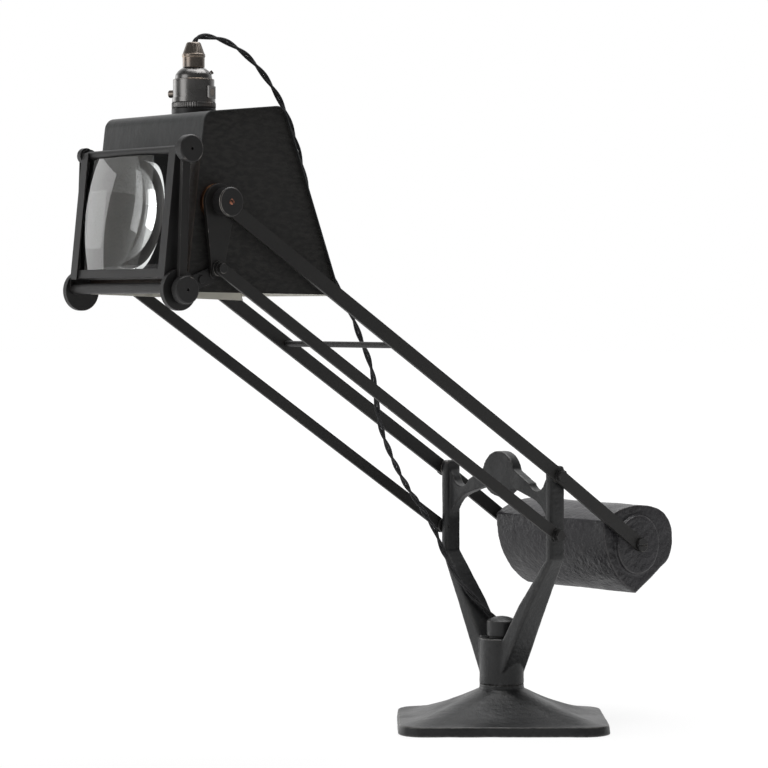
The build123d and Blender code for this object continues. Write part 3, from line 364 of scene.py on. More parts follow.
@material_maker
def cloth_finish(shade, place, colour):
    """Plaited cotton: two sets of threads that cross over and under, from the strand's own UV map."""
    braid = shade.add("UVMap", {"uv_map": "Braid"})
    round_way = shade.along("X", braid) * math.tau
    along = shade.along("Y", braid) * math.tau
    left = (round_way * 8.0 + along).sine()
    right = (round_way * 8.0 - along).sine()
    plait = (left * right).steps(-1.0, 1.0)
    fluff = shade.noise(place, 0.0009, 3.0, 0.7)
    return {
        "Base Color": shade.mix(plait * 0.6 + fluff * 0.4, scaled(colour, 0.60), scaled(colour, 1.6)),
        "Roughness": 0.86 - 0.12 * plait,
        "Sheen Weight": 0.18,
        "Sheen Roughness": 0.5,
        "Sheen Tint": (0.55, 0.55, 0.58, 1.0),
        "Normal": shade.bump(plait + 0.35 * fluff, 0.00014),
    }


@material_maker
def felt_finish(shade, place, colour):
    """Pressed wool, matted and dusty."""
    fibre = shade.noise(place, 0.0008, 5.0, 0.7)
    dust = shade.noise(place, 0.020, 4.0).steps(0.45, 0.80)
    return {
        "Base Color": shade.mix(dust * 0.6 + fibre * 0.3, colour, scaled(colour, 2.2)),
        "Roughness": 0.95,
        "Sheen Weight": 0.4,
        "Normal": shade.bump(fibre, 0.0004),
    }


@material_maker
def moulded_finish(shade, place, colour, roughness):
    """Moulded plastic or porcelain with a slow ripple in its gloss."""
    cloud = shade.noise(place, 0.012, 4.0).steps(0.35, 0.75)
    ripple = shade.noise(place, 0.004, 2.0)
    return {
        "Base Color": shade.mix(cloud, colour, scaled(colour, 1.35)),
        "Roughness": roughness + 0.12 * cloud,
        "Normal": shade.bump(ripple, 0.00010),
    }


@material_maker
def glass_finish(shade, place, tint, ior, smudge):
    """Clear glass with faint finger marks in its gloss."""
    mark = shade.noise(place, 0.012, 4.0, 0.6).steps(0.55, 0.85)
    return {
        "Base Color": (*tint, 1.0),
        "Roughness": mark * smudge,
        "Transmission Weight": 1.0,
        "IOR": ior,
    }


finishes = {}


def make_finishes(colours):
    """Every finish by its short name; the housing's borders between two paints come from its boxes."""
    steel = colours.steel
    along_arm = (1.0, 0.25, 0.25)
    bare = {"metallic": 1.0}
    polished = {"metallic": 1.0, "grain_height": 0.00003}
    finishes.update(
        casting=cast_finish(
            "casting_paint", colours.casting, grain=0.0016, grain_height=0.00030, roughness=0.37, rust=0.20,
            rubbed_colour=(0.105, 0.100, 0.095),
        ),
        weight=cast_finish(
            "weight_iron", colours.weight, grain=0.0034, grain_height=0.00120, roughness=0.34, rust=0.30,
            rubbed_colour=(0.075, 0.070, 0.072),
        ),
        bar=metal_finish("bar_black", colours.bar, 0.46, grain_height=0.00005, stretch=along_arm),
        bar_edge=edge_finish("bar_worn_edge", colours.bar, steel, wear=0.06),
        wrapper=wrapper_finish(
            "wrapper_paint", colours.front, lens_top=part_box("lens_glass")[1].z,
            front_place=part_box("housing_wrapper")[0].y + 0.028,
        ),
        panel=panel_finish("panel_wrinkle", colours.panel),
        sheet_edge=edge_finish("sheet_worn_edge", colours.front, steel, wear=0.10),
        # The inside is painted dark brown above the mouth as painted shade.
        inside=enamel_finish(
            "inside_cream", colours.inside, outside=scaled(colours.front, 0.8), unshaded_below=0.416,
            fully_shaded_above=0.446, half_width=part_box("housing_side_right")[1].x + 0.0002,
        ),
        hardware=metal_finish("hardware_black", colours.hardware, 0.44),
        hardware_edge=edge_finish("hardware_worn_edge", colours.hardware, steel, wear=0.14),
        # The frame's edges take four times the hardware colour: a painted highlight along them, over the
        # rubbed steel of real wear.
        frame_edge=edge_finish("frame_rubbed_edge", scaled(colours.hardware, 4.0), steel, wear=0.12),
        bright=metal_finish("bolt_steel", steel, 0.36, **bare),
        bronze=metal_finish("lampholder_bronze", colours.bronze, 0.26, **polished),
        bronze_edge=edge_finish(
            "lampholder_edge", scaled(colours.bronze, 0.6), steel=(0.45, 0.36, 0.28), wear=0.16
        ),
        gunmetal=metal_finish("lampholder_gunmetal", colours.gunmetal, 0.24, **polished),
        brass=metal_finish("aged_brass", colours.brass, 0.38, **bare),
        copper=metal_finish("screw_copper", colours.copper, 0.32, **bare),
        cloth=cloth_finish("braided_flex", colours.cloth),
        felt=felt_finish("felt", colours.felt),
        plug=moulded_finish("plug_moulding", colours.plug, 0.24),
        porcelain=moulded_finish("insulator", (0.62, 0.58, 0.50), 0.34),
        lens=glass_finish("lens_glass", (0.97, 0.995, 0.985), ior=1.52, smudge=0.03),
        bulb=glass_finish("bulb_glass", (0.99, 0.99, 0.98), ior=1.05, smudge=0.05),
    )


# Surfaces

def linked(name, data):
    """A new object in the scene that holds a mesh, a curve, a light or a camera."""
    thing = bpy.data.objects.new(name, data)
    bpy.context.scene.collection.objects.link(thing)
    return thing


def unit(vectors):
    return vectors / np.linalg.norm(vectors, axis=1)[:, None]


def read_vectors(items, attribute):
    """A vector of each vertex or face, as an array of three columns."""
    values = np.zeros(len(items) * 3)
    items.foreach_get(attribute, values)
    return values.reshape(-1, 3)


def make_smooth(mesh):
    mesh.polygons.foreach_set("use_smooth", [True] * len(mesh.polygons))


def grid_piece(name, points, closed_round=False, closed_ends=False, uvs=None, sharp=None):
    """A surface over a grid of points of shape (rows, columns, 3).

    Row i and column j are joined to their next neighbours; closed_round joins the last column to the
    first, and closed_ends puts one face over the first and the last row. uvs has one more column
    where the surface is closed round. sharp is the angle past which an edge isn't smooth."""
    rows, columns = points.shape[:2]
    row = np.arange(rows - 1)[:, None]
    column = np.arange(columns if closed_round else columns - 1)[None]
    after = (column + 1) % columns
    quads = np.stack([
        row * columns + column,
        row * columns + after,
        (row + 1) * columns + after,
        (row + 1) * columns + column,
    ], axis=-1).reshape(-1, 4)
    faces = quads.tolist()
    if closed_ends:
        faces.append(list(range(columns))[::-1])
        faces.append(list(range((rows - 1) * columns, rows * columns)))
    mesh = bpy.data.meshes.new(name)
    mesh.from_pydata(points.reshape(-1, 3).tolist(), [], faces)
    if uvs is not None:
        corner = np.stack([
            uvs[:-1, :-1], uvs[:-1, 1:], uvs[1:, 1:], uvs[1:, :-1],
        ], axis=2).reshape(-1, 2)
        layer = mesh.uv_layers.new(name="Braid")
        values = np.zeros((len(mesh.loops), 2))
        values[: len(corner)] = corner
        layer.data.foreach_set("uv", values.astype(np.float32).ravel())
    mesh.update()
    return finish_mesh(name, mesh, sharp)


def finish_mesh(name, mesh, sharp=None):
    """Links a mesh as a piece, with its faces outwards and smooth up to an angle."""
    work = bmesh.new()
    work.from_mesh(mesh)
    bmesh.ops.remove_doubles(work, verts=work.verts, dist=1e-7)
    bmesh.ops.recalc_face_normals(work, faces=work.faces)
    work.to_mesh(mesh)
    work.free()
    make_smooth(mesh)
    if sharp:
        mesh.set_sharp_from_angle(angle=math.radians(sharp))
    return linked(name, mesh)


def turned_piece(name, profile, centre, columns=96, radius_of=None, sharp=40):
    """A profile of (radius, height) carried round a vertical axis: x = r cos a, y = r sin a.

    radius_of changes each radius by the angle, as for knurls. A radius of 0 closes the piece."""
    angle = np.linspace(0, math.tau, columns, endpoint=False)
    radius, height = np.array(profile).T
    radii = np.repeat(radius[:, None], columns, axis=1)
    if radius_of is not None:
        radii = radius_of(radii, height[:, None], angle[None])
    heights = np.repeat(height[:, None], columns, axis=1)
    points = np.stack([
        centre[0] + radii * np.cos(angle),
        centre[1] + radii * np.sin(angle),
        heights,
    ], axis=-1)
    return grid_piece(name, points, closed_round=True, sharp=sharp)


def merged_copy(node):
    """The CAD node's mesh with its loose triangles joined and its flat faces made whole."""
    mesh = nodes[node].data.copy()
    work = bmesh.new()
    work.from_mesh(mesh)
    bmesh.ops.remove_doubles(work, verts=work.verts, dist=2e-6)
    bmesh.ops.dissolve_limit(
        work, angle_limit=math.radians(0.4), verts=work.verts, edges=work.edges, delimit={"NORMAL"}
    )
    work.to_mesh(mesh)
    work.free()
    stale = mesh.attributes.get("custom_normal")
    if stale:
        mesh.attributes.remove(stale)
    mesh.materials.clear()
    return mesh


def waves(points, size, seed, count=14):
    """A smooth uneven height: sine waves about a size long in random directions, added up and divided
    by the root of their count."""
    random = np.random.default_rng(seed)
    ways = unit(random.normal(size=(count, 3)))
    ways *= math.tau / size * random.uniform(0.6, 1.5, count)[:, None]
    starts = random.uniform(0, math.tau, count)
    return np.sin(points @ ways.T + starts).sum(1) / math.sqrt(count)


def ridges(mesh, points, normals, full_height, passes=5, gain=2.2):
    """How far each point stands out from its neighbours, along its normal: 1 on a sharp edge, below 0
    in a hollow. Each pass moves it halfway to the mean of its neighbours, and the gain makes up for
    what the passes take off."""
    edges = np.zeros(len(mesh.edges) * 2, dtype=np.int32)
    mesh.edges.foreach_get("vertices", edges)
    first, second = edges.reshape(-1, 2).T
    count = np.bincount(edges, minlength=len(points))

    def mean_of_neighbours(values):
        total = np.stack([
            np.bincount(first, column[second], len(points)) + np.bincount(second, column[first], len(points))
            for column in values.T
        ], axis=1)
        return total / count[:, None]

    stands_out = ((points - mean_of_neighbours(points)) * normals).sum(1, keepdims=True) / full_height
    for _ in range(passes):
        stands_out = (stands_out + mean_of_neighbours(stands_out)) / 2
    return (stands_out[:, 0] * gain).clip(-1, 1)


def mesh_with_modifiers(piece):
    """What the piece's modifiers make of its mesh."""
    graph = bpy.context.evaluated_depsgraph_get()
    return bpy.data.meshes.new_from_object(piece.evaluated_get(graph))


def settle(piece, *replaced, body=None, slot=None):
    """The piece rides on the body of the nodes that it stands for, and those nodes are hidden. The slot
    argument is not used.
    """
    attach(piece, body or body_of_node[replaced[0]])
    if replaced:
        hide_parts(*replaced)
    return piece


def give(piece, *names):
    piece.data.materials.clear()
    for name in names:
        piece.data.materials.append(finishes[name])


def rounded_copy(node, edge, finish="hardware", worn_edge="hardware_edge"):
    """A CAD piece with every sharp edge rounded and its flats kept flat; the new narrow faces take the
    worn finish."""
    piece = linked(node + "_worn", merged_copy(node))
    give(piece, finish, worn_edge)
    make_smooth(piece.data)
    bevel = piece.modifiers.new("rounded", "BEVEL")
    bevel.width = edge
    bevel.segments = 2
    bevel.limit_method = "ANGLE"
    bevel.angle_limit = math.radians(38)
    bevel.use_clamp_overlap = True
    bevel.material = 1
    bevel.harden_normals = True
    return settle(piece, node)


def casting_copy(node, grid, rounding, heights, finish):
    """A sand casting: its edges are rubbed round, and waves are left by the mould.

    heights lists (wave height, wave size, seed); each moves a point along its normal."""
    piece = linked(node + "_cast", merged_copy(node))
    remesh = piece.modifiers.new("even", "REMESH")
    remesh.mode = "VOXEL"
    remesh.voxel_size = grid
    smooth = piece.modifiers.new("rubbed", "SMOOTH")
    smooth.factor = 0.5
    smooth.iterations = rounding
    mesh = mesh_with_modifiers(piece)
    piece.modifiers.clear()
    piece.data = mesh
    points = read_vectors(mesh.vertices, "co")
    normals = read_vectors(mesh.vertex_normals, "vector")
    lowest = points[:, 2].min()
    height = sum(size * waves(points, length, seed) for size, length, seed in heights)
    ridge = ridges(mesh, points, normals, 0.35 * grid)
    moved = points + normals * height[:, None]
    moved[:, 2] = np.maximum(moved[:, 2], lowest)
    mesh.vertices.foreach_set("co", moved.astype(np.float32).ravel())
    mesh.attributes.new("ridge", "FLOAT", "POINT").data.foreach_set("value", ridge.astype(np.float32))
    make_smooth(mesh)
    mesh.update()
    give(piece, finish)
    return settle(piece, node)


# Route of the flex, from the lampholder's grip to the coil behind the base

base_turn = math.radians(49.5)
away = (-math.sin(base_turn), math.cos(base_turn))
across = (math.cos(base_turn), math.sin(base_turn))
coil_away = 0.113
coil_middle_radius = 0.0285
coil_pitch = 0.0061
coil_turns = 3
coil_end_turn = 40.0
holder_y = -0.3706
cord_start = 0.6267
plug_radius = 0.016
plug_away = 0.223
plug_aside = 0.0105


def behind(distance, sideways, height):
    """A point behind the base, as a distance from the axis and a distance sideways."""
    return (distance * away[0] + sideways * across[0], distance * away[1] + sideways * across[1], height)


coil_outer_radius = coil_middle_radius + coil_pitch * (coil_turns - 1) / 2
upper_layer = cord_diameter / 2 + coil_pitch
route = [
    (0.0, holder_y, cord_start),
    (0.0, holder_y, 0.6405),
    (0.0, -0.3590, 0.6434),
    (0.0, -0.3400, 0.6420),
    (0.0, -0.3160, 0.6326),
    (0.0, -0.2920, 0.6136),
    (0.0, -0.2700, 0.5870),
    (0.0, -0.2540, 0.5520),
    (0.0, -0.2415, 0.5080),
    (0.0, -0.2275, 0.4640),
    (0.0, -0.2110, 0.4280),
    (-0.0010, -0.1905, 0.4030),
    (-0.0030, -0.1775, 0.3780),
    (-0.0070, -0.1590, 0.3500),
    (-0.0130, -0.1490, 0.3200),
    (-0.0210, -0.1375, 0.2940),
    (-0.0330, -0.1140, 0.2660),
    (-0.0460, -0.0840, 0.2360),
    (-0.0580, -0.0530, 0.2120),
    (-0.0660, -0.0360, 0.1985),
    (-0.0715, -0.0220, 0.1870),
    (-0.0710, -0.0165, 0.1735),
    (-0.0625, -0.0155, 0.1600),
    (-0.0520, -0.0155, 0.1470),
    (-0.0425, -0.0135, 0.1355),
    (-0.0335, -0.0070, 0.1240),
    (-0.0270, 0.0005, 0.1130),
    (-0.0210, 0.0080, 0.1035),
    (-0.0165, 0.0155, 0.0965),
    (-0.0160, 0.0235, 0.0880),
    (-0.0195, 0.0285, 0.0760),
    (-0.0235, 0.0320, 0.0610),
    (-0.0280, 0.0370, 0.0460),
    behind(0.056, 0.015, 0.034),
    behind(0.068, 0.023, 0.0245),
    behind(0.081, 0.030, 0.016),
    behind(0.094, coil_outer_radius, upper_layer),
    behind(coil_away - cord_diameter, coil_outer_radius, upper_layer),
]
drop_start = 4 * coil_turns - 2
drop_end = drop_start + 2
coil_end = drop_end + 4 * (coil_turns - 1) + coil_end_turn / 90
steps_per_quarter = 5


def coil_place(quarters):
    """The flex after a number of quarter turns: in on the upper layer, down, and out on the floor."""
    reversal = drop_start + 1
    turned_in = quarters if quarters < reversal else 2 * reversal - quarters
    radius = coil_outer_radius - coil_pitch * turned_in / 4
    share = min(max((quarters - drop_start) / (drop_end - drop_start), 0.0), 1.0)
    height = upper_layer - coil_pitch * share * share * (3 - 2 * share)
    turn = quarters * math.pi / 2
    return behind(coil_away + radius * math.sin(turn), radius * math.cos(turn), height)


def coil_points():
    count = round(coil_end * steps_per_quarter)
    return [coil_place(i * coil_end / count) for i in range(count + 1)]


def tail_points(coil):
    """From the coil's end up into the plug."""
    last = Vector(coil[-1])
    way = (last - Vector(coil[-2])).normalized()
    leave = last + way * cord_diameter
    return [
        tuple(leave),
        tuple(leave + way * 0.009),
        behind(0.165, 0.0115, 0.0055),
        behind(0.184, 0.0105, 0.011),
        behind(0.204, plug_aside, plug_radius),
        behind(plug_away, plug_aside, plug_radius),
    ]


def halfway(a, b):
    return tuple((p + q) / 2 for p, q in zip(a, b))


def spline_points(name, points, resolution=10):
    """Points along a smooth NURBS curve of order 3 through the middles of a route's runs."""
    curve = bpy.data.curves.new(name, "CURVE")
    curve.dimensions = "3D"
    curve.resolution_u = resolution
    spline = curve.splines.new("NURBS")
    spline.points.add(len(points) - 1)
    for point, place in zip(spline.points, points):
        point.co = (*place, 1.0)
    spline.order_u = 3
    spline.use_endpoint_u = True
    holder = linked(name, curve)
    mesh = mesh_with_modifiers(holder)
    line = read_vectors(mesh.vertices, "co")
    bpy.data.objects.remove(holder)
    bpy.data.meshes.remove(mesh)
    return line


def ways_across(line, reference):
    """Two unit vectors at right angles to a line at each of its points; the first is also at right
    angles to the reference."""
    tangent = unit(np.gradient(line, axis=0))
    side = unit(np.cross(tangent, reference))
    return side, np.cross(side, tangent)


def twisted_pair(name, line, phase, reference, diameter, lay):
    """Two cores that wind round a line, with a little air between them.

    Each core's centre is a quarter of the diameter from the line, at an angle that grows by one turn
    for each lay; round it lies a circle, so a point is line + offset(angle) + circle(around)."""
    side, upward = ways_across(line, reference)
    steps = np.linalg.norm(np.diff(line, axis=0), axis=1)
    along = np.concatenate([[0.0], np.cumsum(steps)]) + phase
    around = np.linspace(0, math.tau, 14, endpoint=False)
    core = diameter / 4
    air = 0.985
    plait = 0.0022
    pieces = []
    for index in range(2):
        turn = along / lay * math.tau + index * math.pi
        middle = line + core * (np.cos(turn)[:, None] * side + np.sin(turn)[:, None] * upward)
        angle = around[None] + turn[:, None]
        circle = (
            np.cos(angle)[..., None] * side[:, None] + np.sin(angle)[..., None] * upward[:, None]
        )
        points = middle[:, None] + circle * (core * air)
        share = np.linspace(0, 1, len(around) + 1)
        uvs = np.stack(np.broadcast_arrays(share[None], along[:, None] / plait), axis=-1)
        pieces.append(grid_piece(f"{name}_core_{index}", points, True, True, uvs))
    return joined(name, pieces), along[-1]


def joined(name, pieces):
    """Several pieces as one object with one mesh."""
    with bpy.context.temp_override(
        active_object=pieces[0], selected_editable_objects=pieces, selected_objects=pieces
    ):
        bpy.ops.object.join()
    pieces[0].name = name
    pieces[0].data.name = name
    return pieces[0]


def centre_and_size(node):
    low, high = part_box(node)
    return (low + high) / 2, high - low


# Operators, one for each group of like pieces

class LampOperator(bpy.types.Operator):
    """What the lamp's operators share."""

    bl_options = {"REGISTER", "UNDO"}

    @property
    def sizes(self):
        return bpy.context.scene.lamp_sizes


class LAMP_OT_finishes(LampOperator):
    """Makes the materials."""

    bl_idname = "lamp.finishes"
    bl_label = "Finishes"

    def execute(self, context):
        make_finishes(context.scene.lamp_colours)
        return {"FINISHED"}


class LAMP_OT_castings(LampOperator):
    """The base, the yoke and the counterweight as sand castings."""

    bl_idname = "lamp.castings"
    bl_label = "Castings"

    def execute(self, context):
        lump = self.sizes.casting_lumps
        big = self.sizes.weight_lumps
        for node, rounding, heights, finish in (
            ("base_casting", 2, ((lump, 0.030, 1), (lump * 0.45, 0.008, 2)), "casting"),
            ("yoke_casting", 2, ((lump, 0.026, 3), (lump * 0.5, 0.007, 4)), "casting"),
            ("counterweight", 3, ((big, 0.034, 5), (big * 0.40, 0.012, 6)), "weight"),
        ):
            casting_copy(node, self.sizes.casting_grid, rounding, heights, finish)
        return {"FINISHED"}


class LAMP_OT_base_fittings(LampOperator):
    """Felt, swivel spindle, its washer and its cap nut."""

    bl_idname = "lamp.base_fittings"
    bl_label = "Base fittings"

    def execute(self, context):
        sizes = self.sizes
        rounded_copy("base_felt", sizes.bar_edge, "felt", "felt")
        for node in ("spindle", "thrust_washer"):
            rounded_copy(node, sizes.sheet_edge)
        rounded_copy("spindle_cap", sizes.bar_edge * 2, "casting", "hardware_edge")
        return {"FINISHED"}


class LAMP_OT_arms(LampOperator):
    """The four flat bars, the cross rod and the pivots on the yoke."""

    bl_idname = "lamp.arms"
    bl_label = "Arms"

    def execute(self, context):
        sizes = self.sizes
        for side in ("right", "left"):
            rounded_copy(f"upper_strip_{side}", sizes.bar_edge, "bar", "bar_edge")
            rounded_copy(f"lower_strip_{side}", sizes.bar_edge, "bar", "bar_edge")
        for node in ("cross_rod", "arm_pivot_bolts", "arm_pivot_spacers", "weight_screws"):
            rounded_copy(node, sizes.sheet_edge)
        return {"FINISHED"}


class LAMP_OT_head_mount(LampOperator):
    """Bracket plates, studs, friction discs, pivot bolts and knobs of the head."""

    bl_idname = "lamp.head_mount"
    bl_label = "Head mount"

    def execute(self, context):
        sizes = self.sizes
        for side in ("right", "left"):
            rounded_copy(f"bracket_plate_{side}", sizes.bar_edge, "bar", "bar_edge")
        for node in ("bracket_studs", "bracket_spacers", "head_pivot_bolts"):
            rounded_copy(node, sizes.sheet_edge)
        rounded_copy("friction_discs", sizes.bar_edge, "brass", "brass")
        rounded_copy("head_knobs", sizes.sheet_edge)
        low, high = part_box("head_knobs")
        for side, face, outward in (("right", high.x, 1.0), ("left", low.x, -1.0)):
            self.knob_screw(side, (low + high) / 2, face, outward)
        return {"FINISHED"}

    def knob_screw(self, side, centre, face, outward):
        """A small screw: its face is a low ellipse over a disc, less a straight groove across it."""
        reach = 0.0026
        rise = 0.0010
        sunk = 0.0002
        groove_depth = 0.0006
        share = np.linspace(0.01, 1, 26)[:, None]
        angle = np.linspace(0, math.tau, 96, endpoint=False)[None]
        ahead = share * np.cos(angle)
        above = share * np.sin(angle)
        groove = (np.abs(0.80 * ahead + 0.60 * above) < 0.20) & (share < 0.97)
        height = rise * np.sqrt(1 - 0.999 * share**2) - sunk - groove_depth * groove
        points = np.stack([
            face + outward * height, centre.y + reach * ahead, centre.z + reach * above
        ], axis=-1)
        screw = grid_piece(f"knob_screw_{side}", points, True, True, sharp=35)
        give(screw, "copper")
        settle(screw, body=body_of_node["head_knobs"], slot=slot_of_node["friction_discs"])


class LAMP_OT_housing(LampOperator):
    """The wrapper and the two side panels: dark outside and cream inside."""

    bl_idname = "lamp.housing"
    bl_label = "Housing"

    def execute(self, context):
        edge = self.sizes.sheet_edge
        low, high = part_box("housing_wrapper")
        middle = np.array((low + high) / 2)
        for node, outside in (
            ("housing_wrapper", "wrapper"),
            ("housing_side_right", "panel"),
            ("housing_side_left", "panel"),
        ):
            piece = rounded_copy(node, edge, outside, "sheet_edge")
            piece.data.materials.append(finishes["inside"])
            self.paint_inside(piece.data, middle)
        return {"FINISHED"}

    def paint_inside(self, mesh, middle):
        """The faces that look towards the housing's middle, from a plane that is not near it, are
        cream."""
        nearest = 0.012
        outwards = read_vectors(mesh.polygons, "center") - middle
        inward = (outwards * read_vectors(mesh.polygons, "normal")).sum(1) < -nearest
        mesh.polygons.foreach_set("material_index", np.where(inward, 2, 0).astype(np.int32))


class LAMP_OT_lampholder(LampOperator):
    """The lampholder: knurled shade ring, body, dome, grip and switch bar."""

    bl_idname = "lamp.lampholder"
    bl_label = "Lampholder"

    def execute(self, context):
        sizes = self.sizes
        for node in ("holder_skirt", "holder_body", "holder_dome"):
            rounded_copy(node, sizes.sheet_edge, "gunmetal", "bronze_edge")
        for node in ("cord_grip", "switch_bar"):
            rounded_copy(node, sizes.sheet_edge, "bronze", "bronze_edge")
        rounded_copy("dome_screw", sizes.sheet_edge * 0.6, "bronze", "bronze_edge")
        rounded_copy("holder_gasket", sizes.sheet_edge)
        rounded_copy("holder_insulator", sizes.sheet_edge, "porcelain", "porcelain")
        rounded_copy("contact_plungers", sizes.sheet_edge, "brass", "brass")
        self.shade_ring()
        return {"FINISHED"}

    def shade_ring(self):
        """The ring's side has fine upright knurls: r grows by a rectified sine of the angle."""
        centre, size = centre_and_size("shade_ring")
        outer = size.x / 2
        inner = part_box("holder_skirt")[1].x + 0.00005
        foot = centre.z - size.z / 2
        top = centre.z + size.z / 2
        lip = 0.0009
        depth = 0.00045
        knurls = 56
        profile = [
            (inner, foot), (outer - lip, foot), (outer - 0.0002, foot + lip * 0.6),
            (outer, foot + lip), (outer, top - lip), (outer - 0.0002, top - lip * 0.6),
            (outer - lip, top), (inner, top), (inner, foot),
        ]

        def knurled(radii, heights, angle):
            on_side = (heights > foot + lip / 2) & (heights < top - lip / 2)
            return radii - depth * on_side * (0.5 - 0.5 * np.cos(angle * knurls))

        ring = turned_piece("shade_ring_knurled", profile, centre, knurls * 8, knurled)
        give(ring, "gunmetal")
        settle(ring, "shade_ring")


class LAMP_OT_bulb(LampOperator):
    """The bulb's cap and its clear glass, with a filament on its stem."""

    bl_idname = "lamp.bulb"
    bl_label = "Bulb"

    def execute(self, context):
        rounded_copy("bulb_cap", self.sizes.sheet_edge, "brass", "brass")
        glass = linked("bulb_glass_clear", merged_copy("bulb_glass"))
        make_smooth(glass.data)
        give(glass, "bulb")
        settle(glass, "bulb_glass")
        self.stem()
        return {"FINISHED"}

    def stem(self):
        """A flared glass stem: its radius falls as the square of what is left of the way down."""
        low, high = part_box("bulb_glass")
        centre = (low + high) / 2
        flare = 0.0075
        foot_radius = 0.0022
        length = 0.034
        neck_wall = 0.0008
        share = np.linspace(0, 1, 24)
        radius = flare * (1 - share) ** 2 + foot_radius
        height = high.z - neck_wall - length * share
        profile = [(0.0, height[0])] + list(zip(radius, height)) + [(0.0, height[-1] - 0.001)]
        stem = turned_piece("bulb_stem", profile, centre, 32)
        give(stem, "bulb")
        settle(stem, body="head", slot="bulb")
        self.filament(centre, height[-1])

    def filament(self, centre, stem_foot):
        """A fine wire in an arc round the stem's foot: its height is a cosine of the way along."""
        reach = 0.0105
        swing = 0.0028
        below_foot = 0.004
        supports = 4
        share = np.linspace(0, 1, 160)
        turn = (share - 0.5) * math.radians(250)
        height = stem_foot - below_foot + swing * np.cos(share * math.tau * supports)
        line = np.stack([
            centre.x + reach * np.cos(turn), centre.y + reach * np.sin(turn), height
        ], axis=-1)
        wire = tube_piece("bulb_filament", line, radius=0.00012, columns=6)
        give(wire, "bright")
        settle(wire, body="head", slot="bulb")


def tube_piece(name, line, radius, columns):
    """A round tube along a line: each ring lies across the line, in a frame turned from +Z."""
    side, upward = ways_across(line, (0.05, 0.11, 1.0))
    angle = np.linspace(0, math.tau, columns, endpoint=False)
    circle = np.cos(angle)[:, None] * side[:, None] + np.sin(angle)[:, None] * upward[:, None]
    return grid_piece(name, line[:, None] + radius * circle, True, True)


class LAMP_OT_lens(LampOperator):
    """The thick lens, cut to a rectangle from a round blank. A point at radius r and angle a of the
    outline lies half the thickness - curve + sqrt(curve squared - r squared) before or behind the
    lens's middle plane."""

    bl_idname = "lamp.lens"
    bl_label = "Lens"

    def execute(self, context):
        sizes = self.sizes
        centre, size = centre_and_size("lens_glass")
        right = np.array((1.0, 0.0, 0.0))
        up = np.array((0.0, math.sin(frame_lean), math.cos(frame_lean)))
        ahead = np.array((0.0, -math.cos(frame_lean), math.sin(frame_lean)))
        half_width = size.x / 2
        half_height = self.half_height(size)
        blank = sizes.lens_blank
        curve = sizes.lens_curve
        half = sizes.lens_middle / 2
        angle = np.linspace(0, math.tau, 360, endpoint=False)
        edge = np.minimum(
            blank,
            np.minimum(
                half_width / np.maximum(np.abs(np.cos(angle)), 1e-9),
                half_height / np.maximum(np.abs(np.sin(angle)), 1e-9),
            ),
        )
        share = np.sin(np.linspace(0.002, math.pi / 2, 40))
        radius = share[:, None] * edge[None]
        height = half - curve + np.sqrt(curve**2 - radius**2)
        across_way = (radius * np.cos(angle))[..., None] * right + (radius * np.sin(angle))[..., None] * up
        front = across_way + height[..., None] * ahead
        back = across_way - height[..., None] * ahead
        points = np.concatenate([front, back[::-1]]) + np.array(centre)
        lens = grid_piece("lens_ground", points, True, True, sharp=30)
        give(lens, "lens")
        settle(lens, "lens_glass")
        return {"FINISHED"}

    def half_height(self, size):
        """Half the height along the frame, less what the leaning edge's thickness adds to the box."""
        curve = self.sizes.lens_curve
        edge = self.sizes.lens_middle / 2 - curve + math.sqrt(curve**2 - size.z**2 / 4)
        return (size.z / 2 - edge * math.sin(frame_lean)) / math.cos(frame_lean)


class LAMP_OT_lens_frame(LampOperator):
    """Ears, links, knobs, bolts, channels, tubes and rail round the lens."""

    bl_idname = "lamp.lens_frame"
    bl_label = "Lens frame"

    def execute(self, context):
        sizes = self.sizes
        for side in ("right", "left"):
            rounded_copy(f"lens_ear_{side}", sizes.bar_edge)
            rounded_copy(f"lens_link_{side}", sizes.bar_edge, "bar", "bar_edge")
            # The frame sides' edges carry a painted highlight as well as wear.
            rounded_copy(f"frame_side_{side}", sizes.bar_edge * 1.3, "hardware", "frame_edge")
        for node in ("lens_lower_knob", "lens_upper_knob"):
            rounded_copy(node, sizes.bar_edge)
        for node in (
            "ear_rivets", "lens_lower_bolts", "lens_upper_bolts",
            "frame_top_tube", "frame_bottom_tube", "frame_bottom_rail",
        ):
            rounded_copy(node, sizes.sheet_edge)
        return {"FINISHED"}


